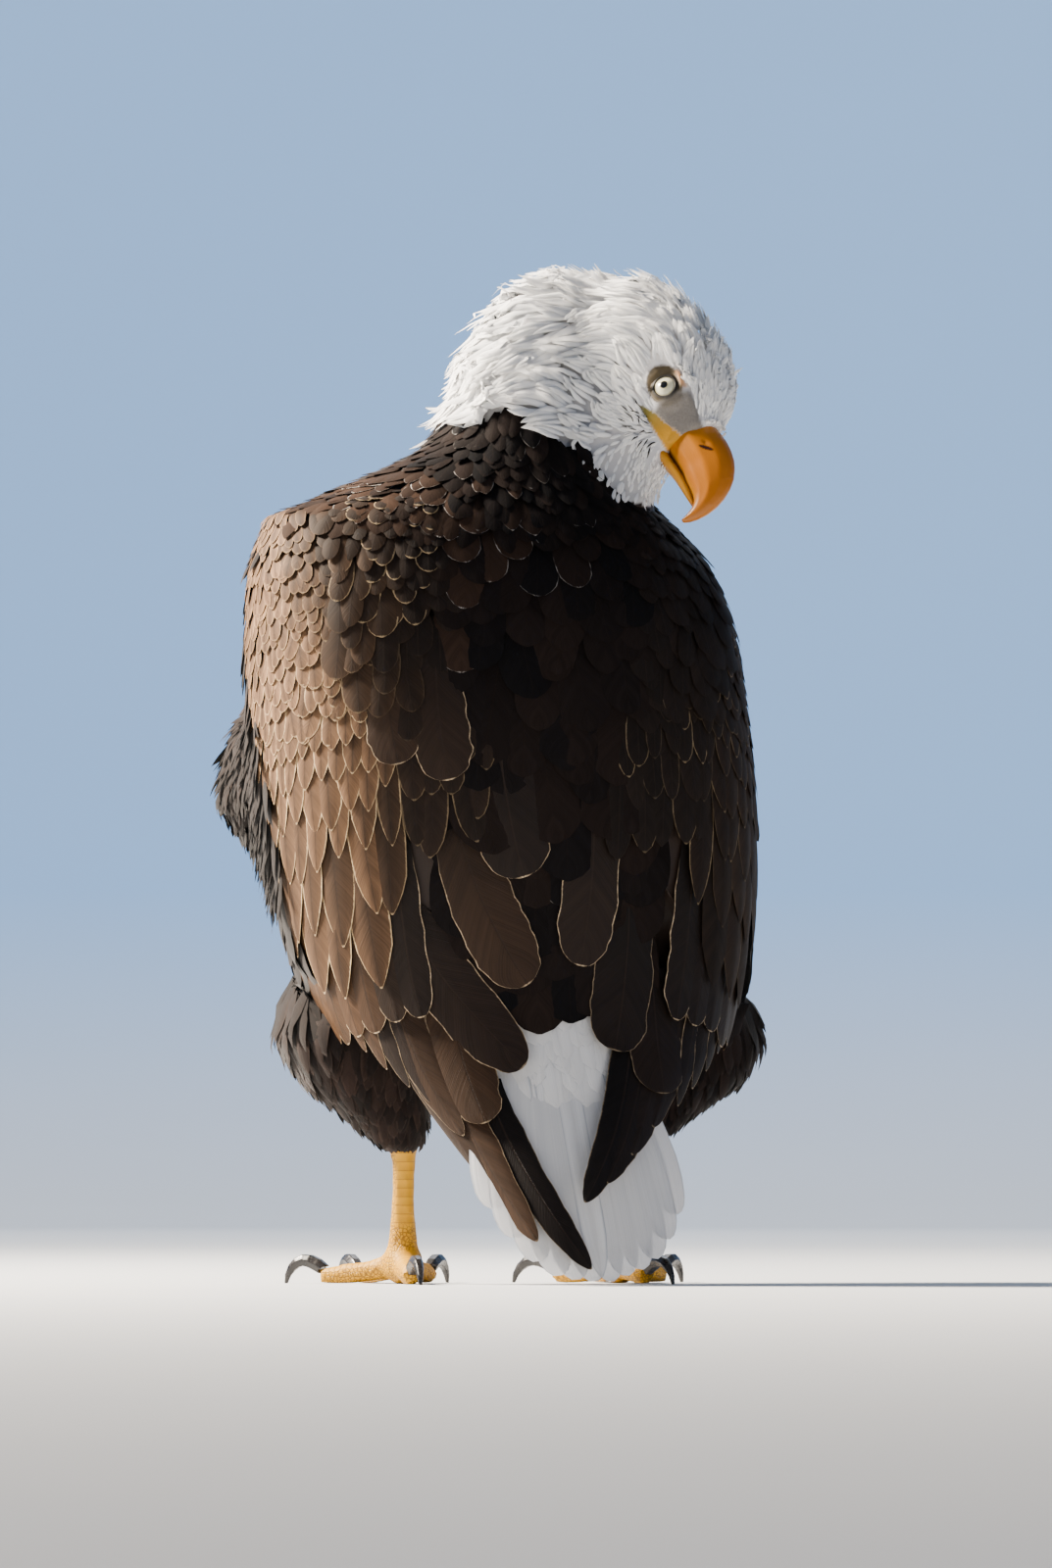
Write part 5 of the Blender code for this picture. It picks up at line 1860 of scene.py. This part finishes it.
@dataclass
class Wing:
    """One folded wing: coverts in rows like tiles, then secondaries and primaries one beside another."""

    side: Side
    form: BodyForm
    finishes: Finishes
    mantle_edge: tuple = Plumage.mantle_edge
    # The front and rear edges: a height, and there the millimetres round from the midline.
    front_edge: tuple = ((11, 0), (30, 20), (60, 44), (94, 66), (118, 105), (145, 158), (200, 200),
                         (250, 214), (300, 226), (350, 240), (400, 262), (440, 272), (490, 250))
    rear_edge: tuple = ((11, -12), (60, -8), (92, 8), (107, 12), (138, 10), (192, -10), (229, 0), (300, 12),
                        (330, 46), (370, 88), (440, 124), (490, 150))
    left_top: float = 487.0
    right_top: float = 471.0
    # The rows of long coverts: height over the ends, length and half-width.
    long_rows: tuple = ((-56.0, 100.0, 12.5), (-14.0, 92.0, 11.5), (24.0, 78.0, 10.0), (54.0, 62.0, 8.6),
                        (78.0, 46.0, 7.4), (98.0, 34.0, 6.5))
    # The height of the coverts' ends over the millimetres round.
    ends: tuple = ((0, 205), (60, 250), (100, 252), (130, 240), (160, 232), (200, 222), (240, 250))
    bleaching: tuple = ((60, 0.3), (200, 0.45), (290, 0.72), (360, 0.92))  # over the height

    def __post_init__(self) -> None:
        """Seeds the wing's own draws."""
        self.random = np.random.default_rng(SEED + 30 + self.side.value)

    def front(self, z: Array) -> Array:
        """The wing's front edge at a height, in millimetres round."""
        return table(self.front_edge, z)

    def rear(self, z: Array) -> Array:
        """The wing's rear edge at a height."""
        return table(self.rear_edge, z)

    def lay(self, coat: Coat, blank: Blank, feathers: list[Big], tile_start: Array, tile: float) -> None:
        """Lays big feathers on the opened-out body.

        Args:
            coat: The piece that takes them.
            blank: The sheet to lay.
            feathers: Their places and sizes.
            tile_start: Each one's place on the bake map.
            tile: The size of its patch there.
        """
        root = np.array([f.root for f in feathers], float)[:, None]
        tip = np.array([f.tip for f in feathers], float)[:, None]
        wide = np.array([f.half_width for f in feathers], float)[:, None]
        bow = np.array([f.bow for f in feathers], float)[:, None]
        shares = np.array([f.cut.half_width(blank.along) for f in feathers])
        # Both edges are a little uneven, as the barbs part.
        uneven = self.random.normal(0.0, 0.035, (len(feathers), blank.rows + 1, 2))
        uneven[:, 1:] = (uneven[:, 1:] + uneven[:, :-1]) * 0.7
        shares = shares * (1.0 + uneven[:, blank.row, (blank.across > 0).astype(int)] * np.abs(blank.across))
        v = blank.along[None]
        run = tip - root
        lengths = np.linalg.norm(run, axis=2)
        forward = run / lengths[..., None]
        # Bending the middle turns the vane with it.
        centre = root + run * v[..., None]
        centre[..., 0] += bow * 4 * v * (1 - v)
        slope = bow * 4 * (1 - 2 * v) / lengths
        normal_in_plane = np.stack([forward[..., 1] * np.ones_like(v), -forward[..., 0] - slope], axis=-1)
        normal_in_plane = unit(normal_in_plane)
        reach = blank.across[None] * shares * wide
        place = centre + normal_in_plane * reach[..., None]
        layer = np.array([f.layer for f in feathers], float)[:, None]
        thick = np.clip(wide / 24.0, 0.2, 0.7) * np.minimum(1.0, 3.0 * (1.02 - v))
        thick = thick * (0.35 + 0.65 * (1 - np.abs(blank.across[None])))
        out = layer - 4.5 * (1 - v) ** 1.5 - 0.055 * wide * (blank.across[None] * shares) ** 2
        out = out + blank.side[None] * thick
        quill = np.exp(-((reach / 0.9) ** 2)) * 0.35 * (blank.side[None] > 0.5) * (wide > 9)
        lifted = 5.5 * np.clip((150.0 - place[..., 1]) / 60.0, 0.0, 1.0) if self.side is Side.RIGHT else 0.0
        points = self.form.place(place[..., 0] * self.side.value, place[..., 1], out + quill + lifted)
        if self.side is Side.RIGHT:
            points = points[:, self._mirrored(blank)]
        marks = {"own": self.random.random(len(feathers)), "sun": np.array([f.sun for f in feathers]),
                 "rim": np.array([f.rim for f in feathers])}
        coat.gather(blank, points, wide[:, 0], lengths[:, 0], marks, tile_start, tile)

    @staticmethod
    def _mirrored(blank: Blank) -> Array:
        """For each point of the sheet, the one across from it, so that a mirrored sheet still faces out.

        Args:
            blank: The sheet to lay.

        Returns:
            The other point's number for each.
        """
        places = list(zip(np.round(blank.across, 3), blank.row, np.round(blank.side)))
        index = {place: i for i, place in enumerate(places)}
        return np.array([index[(-across, row, side)] for across, row, side in places])

    def worn(self, around: float, height: float) -> float:
        """How sun-bleached the wing is at a place: most along the front of the left one. The right wing is
        kept dark all over, as painted shade.

        Args:
            around: Millimetres round from the midline.
            height: Millimetres above the floor.

        Returns:
            From 0 to 1.
        """
        # Painted shade: the right wing, on the shaded side, stays near its darkest.
        if self.side is Side.RIGHT:
            return 0.02 + 0.10 * float(ease(60.0, 220.0, around))
        edge = float(table(self.mantle_edge, min(height, 482.0)))
        return 0.05 + float(ease(edge - 22.0, edge + 26.0, around)) * float(table(self.bleaching, height))

    def rimmed(self, around: float, height: float) -> float:
        """How plainly a covert's rim has worn pale: by chance, and by how bleached the wing is there. On the
        right wing few rims show, as painted shade.

        Args:
            around: Millimetres round from the midline.
            height: Millimetres above the floor.

        Returns:
            From 0 to 1.
        """
        chance = float(self.random.random())
        # Painted shade: few and faint rims on the shaded right wing.
        if self.side is Side.RIGHT:
            return 0.35 * chance**2
        high = float(table(((250, 1.0), (320, 0.8), (370, 0.4), (430, 0.2)), height))
        return high * (0.25 + 0.75 * float(ease(0.1, 0.5, self.worn(around, height)))) * (0.6 + 0.4 * chance)

    def coverts(self) -> list[Big]:
        """The rows of coverts, from the long ones over the flight feathers up to the wrist's small ones.

        Returns:
            The feathers.
        """
        made, rise, index = [], 0.0, 0
        top = self.left_top if self.side is Side.LEFT else self.right_top
        while rise < 290.0:
            small = index - len(self.long_rows)
            if small < 0:
                rise, length, half = self.long_rows[index]
            else:
                rise, length, half = rise + 9.0, max(19.0, 30.0 - 0.9 * small), max(4.5, 6.2 - 0.12 * small)
            uneven = 0.09 * (small >= 0)
            around = 44.0 + (index % 2) * half * 0.8
            while around < 290.0:
                z = float(table(self.ends, around)) + rise + self.random.normal(0.0, (0.05 + uneven) * length)
                inner = 104.0 if rise < 0.0 else self.rear(z) + 6.0
                under_top = z < top - 8.0 - 22.0 * float(ease(200, 270, around))
                if inner < around < self.front(z) + 2.0 and under_top:
                    lean = -0.10 * float(ease(320.0, 220.0, z)) + self.random.normal(0.0, 0.05 + uneven)
                    made.append(Big(
                        root=(around - 0.25 * lean * length, z + length), tip=(around + lean * length, z),
                        half_width=half * self.random.uniform(0.82, 1.2),
                        layer=1.8 + 0.6 * float(self.random.random()),
                        sun=self.worn(around, z) * self.random.uniform(0.8, 1.08), rim=self.rimmed(around, z),
                        cut=Cut.LANCE if small < 0 and around > 100.0 else Cut.CONTOUR))
                around += half * 1.6
            index += 1
        return made

    def secondaries(self) -> list[Big]:
        """The inner flight feathers, each from under the one nearer the back.

        Returns:
            The feathers.
        """
        made = []
        if self.side is Side.LEFT:
            made += [
                Big((66.0, 200.0), (50.0, 101.0), 19.0, -0.4, 0.16, 0.5, 4.0),
                Big((98.0, 235.0), (22.0, 136.0), 20.0, 0.4, 0.05, 0.6, 6.0),
                Big((62.0, 285.0), (17.0, 187.0), 21.0, 1.2, 0.14, 0.7, 5.0),
                Big((36.0, 360.0), (20.0, 254.0), 24.0, 2.0, 0.04, 0.9, 4.0),
                Big((104.0, 400.0), (98.0, 324.0), 17.0, 3.6, 0.10, 0.7, 3.0),
                Big((74.0, 395.0), (67.0, 314.0), 18.0, 4.0, 0.08, 0.8, 3.0),
            ]
        else:
            # Painted shade: the right wing's secondaries are given little bleaching, as the shaded side.
            made += [
                Big((70.0, 190.0), (70.0, 119.0), 20.0, -0.2, 0.05, 0.3, 0.0),
                Big((52.0, 240.0), (38.0, 146.0), 21.0, 0.6, 0.04, 0.5, 3.0),
                Big((26.0, 310.0), (17.0, 199.0), 19.0, 1.6, 0.05, 0.9, 3.0),
            ]
        for i in range(8):
            around = 84.0 + 15.5 * i
            z = float(table(((80, 170.0), (105, 160.0), (140, 150.0), (170, 150.0), (210, 170.0)), around))
            tip = (around, z + self.random.normal(0, 2.0))
            sun = self.worn(around, z) * self.random.uniform(0.75, 1.1)
            made.insert(0, Big((around + 16.0, z + 110.0), tip, 12.5, 0.9 - 0.25 * i, sun, 0.9, 3.0))
        return made

    def primaries(self) -> list[Big]:
        """The outer flight feathers, that reach furthest down over the tail.

        Returns:
            The feathers.
        """
        made = []
        if self.side is Side.LEFT:
            tips = ((-6.0, 11.0, 13.0, -1.6, 0.02), (27.0, 28.0, 15.0, -1.0, 0.17),
                    (56.0, 62.0, 14.0, -1.4, 0.12), (66.0, 93.0, 15.0, -0.8, 0.14))
        else:
            # Painted shade: the right wing's primaries are kept darker, as the shaded side.
            tips = ((4.0, 50.0, 13.0, -0.8, 0.01), (20.0, 62.0, 14.0, -1.2, 0.02),
                    (40.0, 80.0, 14.0, -1.6, 0.03), (60.0, 98.0, 14.0, -1.9, 0.04))
        for around, z, half, layer, sun in tips:
            root = (around * 0.8 + 52.0, z + 118.0)
            made.append(Big(root, (around, z), half, layer, sun, 0.4, 8.0, Cut.BLADE))
        for i in range(5):
            around, z = 84.0 + 15.0 * i, 112.0 + 11.0 * i
            sun = self.worn(around, z) * 0.8
            made.append(Big((around + 34.0, z + 120.0), (around, z), 9.0, -1.2, sun, 0.6, 4.0, Cut.BLADE))
        return made

    def build(self) -> None:
        """Builds the wing's three pieces in place of its three nodes."""
        for group, feathers, blank, finish, slot in (
            ("coverts", self.coverts(), Blank(4, 8, 1.4), self.finishes.brown, "wing_coverts"),
            ("secondaries", self.secondaries(), Blank(10, 24, 1.4), self.finishes.flight, "flight_feathers"),
            ("primaries", self.primaries(), Blank(10, 26, 1.3), self.finishes.flight, "flight_feathers"),
        ):
            coat = Coat(f"{self.side.word}_{group}")
            patches, tile = tiled(len(feathers))
            self.lay(coat, blank, feathers, patches, tile)
            coat.join(finish, slot, f"wing_{self.side.word}_{group}")


@dataclass
class Tail:
    """Twelve white tail feathers, overlapping as one arched blade, with their ends on the floor."""

    finishes: Finishes
    root: tuple[float, float, float] = (2.4, 48.1, 236.0)
    end: tuple[float, float, float] = (-9.6, 140.6, 1.0)
    # Half the width over the share of the length.
    half_width: tuple = ((0.0, 18.0), (0.35, 36.0), (0.65, 54.0), (0.9, 60.0), (1.0, 59.0))
    arch: float = 13.0
    corner_rise: float = 0.20  # how much shorter the outermost feathers are, as a share
    count: int = 12
    half_feather: float = 14.0

    def __post_init__(self) -> None:
        """Seeds the tail's own draws."""
        self.random = np.random.default_rng(SEED + 60)

    def build(self) -> None:
        """Lays the twelve feathers side by side, the middle pair on top."""
        blank = Blank(10, 22, 1.4)
        run = Vector(self.end) - Vector(self.root)
        down, full = run.normalized(), run.length
        outward = Vector((0.0, -down.z, down.y)).normalized()
        points, lengths = [], []
        for i in range(self.count):
            spread = (i - (self.count - 1) / 2) / ((self.count - 1) / 2)
            reach = 1.0 - self.corner_rise * abs(spread) ** 2.6 + self.random.normal(0.0, 0.008)
            v = blank.along * min(reach, 1.0)
            middle = table(self.half_width, v) * spread
            across = middle + blank.across * Cut.RECTRIX.half_width(blank.along) * self.half_feather
            share = across / (table(self.half_width, v) + self.half_feather)
            arch = self.arch * (0.35 + 0.65 * v) * (1 - share**2) - self.arch * 0.6
            layer = 1.0 - 1.9 * abs(spread) + 0.6 * blank.side * np.minimum(1.0, 4 * (1.02 - blank.along))
            tilt = -0.4 * np.sign(spread) * blank.across
            place = (np.array(self.root)[None] + np.outer(v * full, down) + np.outer(across, (1.0, 0.0, 0.0))
                     + np.outer(arch + layer + tilt, outward))
            points.append(place * MM)
            lengths.append(full * reach)
        points = np.array(points)
        points[..., 2] = np.maximum(points[..., 2], 0.0)
        patches, tile = tiled(self.count)
        coat = Coat("tail_feathers")
        marks = {"own": self.random.random(self.count), "fleck": np.zeros(self.count)}
        widths = np.full(self.count, self.half_feather)
        coat.gather(blank, points, widths, np.array(lengths), marks, patches, tile)
        coat.join(self.finishes.stained_and_shaded, "white_plumage", "tail")


# ---------------------------------------------------------------- studio

@dataclass
class Studio:
    """A seamless pale sweep, soft lamps and the camera behind the bird, a little to its left."""

    finishes: Finishes
    azimuth: float = 163.0  # degrees; the rest is in metres
    distance: float = 6.0
    camera_height: float = 0.06
    frame_height: float = 0.992  # what the frame spans at the bird
    aim_height: float = 0.316
    aim_aside: float = 0.005
    sweep_radius: float = 13.0
    sweep_bend: float = 4.0
    sweep_height: float = 8.0

    def __post_init__(self) -> None:
        """Works out which way the camera looks."""
        turn = math.radians(self.azimuth)
        self.towards = Vector((math.sin(turn), -math.cos(turn), 0.0))
        self.rightward = UPRIGHT.cross(self.towards)

    def build(self) -> None:
        """Builds the sweep, the lamps and the camera."""
        self._sweep()
        self._lamps()
        self._camera()

    def _sweep(self) -> None:
        """Spins the floor, its bend and the wall as one surface."""
        flat = self.sweep_radius - self.sweep_bend
        profile = [(0.0, 0.0), (flat / 2, 0.0)]
        profile += [(flat + self.sweep_bend * math.sin(a), self.sweep_bend * (1 - math.cos(a)))
                    for a in np.linspace(0, math.pi / 2, 12)]
        profile.append((self.sweep_radius, self.sweep_height))
        sweep = spun(profile, 96)
        bmesh.ops.recalc_face_normals(sweep, faces=sweep.faces)
        if min(sweep.faces, key=lambda f: f.calc_center_median().length).normal.z < 0:
            bmesh.ops.reverse_faces(sweep, faces=sweep.faces)
        mesh = meshed(sweep, "sweep")
        mesh.shade_smooth()
        mesh.materials.append(self.finishes.sweep)
        place_in_scene("sweep", mesh)

    def _lamps(self) -> None:
        """Hangs a big soft key to the camera's left, a weak fill and an even sky."""
        middle = Vector((0, 0, 0.35))
        behind = self.towards * -12.5 + UPRIGHT * 0.8
        for name, aim, right, near, high, size, power, colour in (
            ("key", middle, -2.5, -0.45, 2.35, 0.8, 1040.0, "FFF1DE"),
            ("fill", middle, 1.6, 2.4, 1.65, 2.4, 3.0, "E6EEFF"),
            ("front", middle, 0.4, -2.6, 2.55, 2.0, 30.0, "FFFFFF"),
            ("wash", behind, 0.0, -5.0, 6.5, 5.0, 900.0, "FFFFFF"),
        ):
            lamp = bpy.data.lights.new(name, "AREA")
            lamp.shape, lamp.size, lamp.energy, lamp.color = "DISK", size, power, linear(colour)[:3]
            place = self.rightward * right + self.towards * near + UPRIGHT * high
            self._aim(place_in_scene(name, lamp), place, aim)
        world = bpy.data.worlds.new("sky")
        world.use_nodes = True
        sky = world.node_tree.nodes["Background"]
        sky.inputs["Color"].default_value = linear("D8E4F8")
        sky.inputs["Strength"].default_value = 0.28
        bpy.context.scene.world = world

    def _aim(self, holder: bpy.types.Object, place: Vector, aim: Vector) -> None:
        """Puts a lamp or the camera at a place, and turns it to another."""
        holder.location = place
        holder.rotation_euler = (aim - holder.location).to_track_quat("-Z", "Y").to_euler()

    def _camera(self) -> None:
        """Sets the camera low over the floor, with a long lens."""
        lens = bpy.data.cameras.new("camera")
        holder = place_in_scene("camera", lens)
        aside = self.rightward * self.aim_aside
        aim = aside + UPRIGHT * self.aim_height
        self._aim(holder, self.towards * self.distance + aside + UPRIGHT * self.camera_height, aim)
        away = aim - holder.location
        lens.sensor_width = 36.0
        lens.lens = lens.sensor_width / 2 / (self.frame_height / 2 / away.length)
        lens.clip_start, lens.clip_end = 0.05, 60.0
        bpy.context.scene.camera = holder


def main() -> None:
    """Builds the bird from the skin out, then the studio."""
    logging.basicConfig(level=logging.INFO, format="%(name)s %(message)s")
    finishes = Finishes()
    head = HeadFrame()
    form = BodyForm()
    Hide(head, finishes).build()
    Talons(finishes).build()
    Bill(head, finishes).build()
    Eyes(head, finishes).build()
    plumage = Plumage(head, form, finishes)
    plumage.build_head()
    plumage.build_body()
    plumage.build_trousers()
    plumage.build_tail_coverts()
    for side in Side:
        Wing(side, form, finishes).build()
    Tail(finishes).build()
    Studio(finishes).build()


if __name__ == "__main__":
    main()
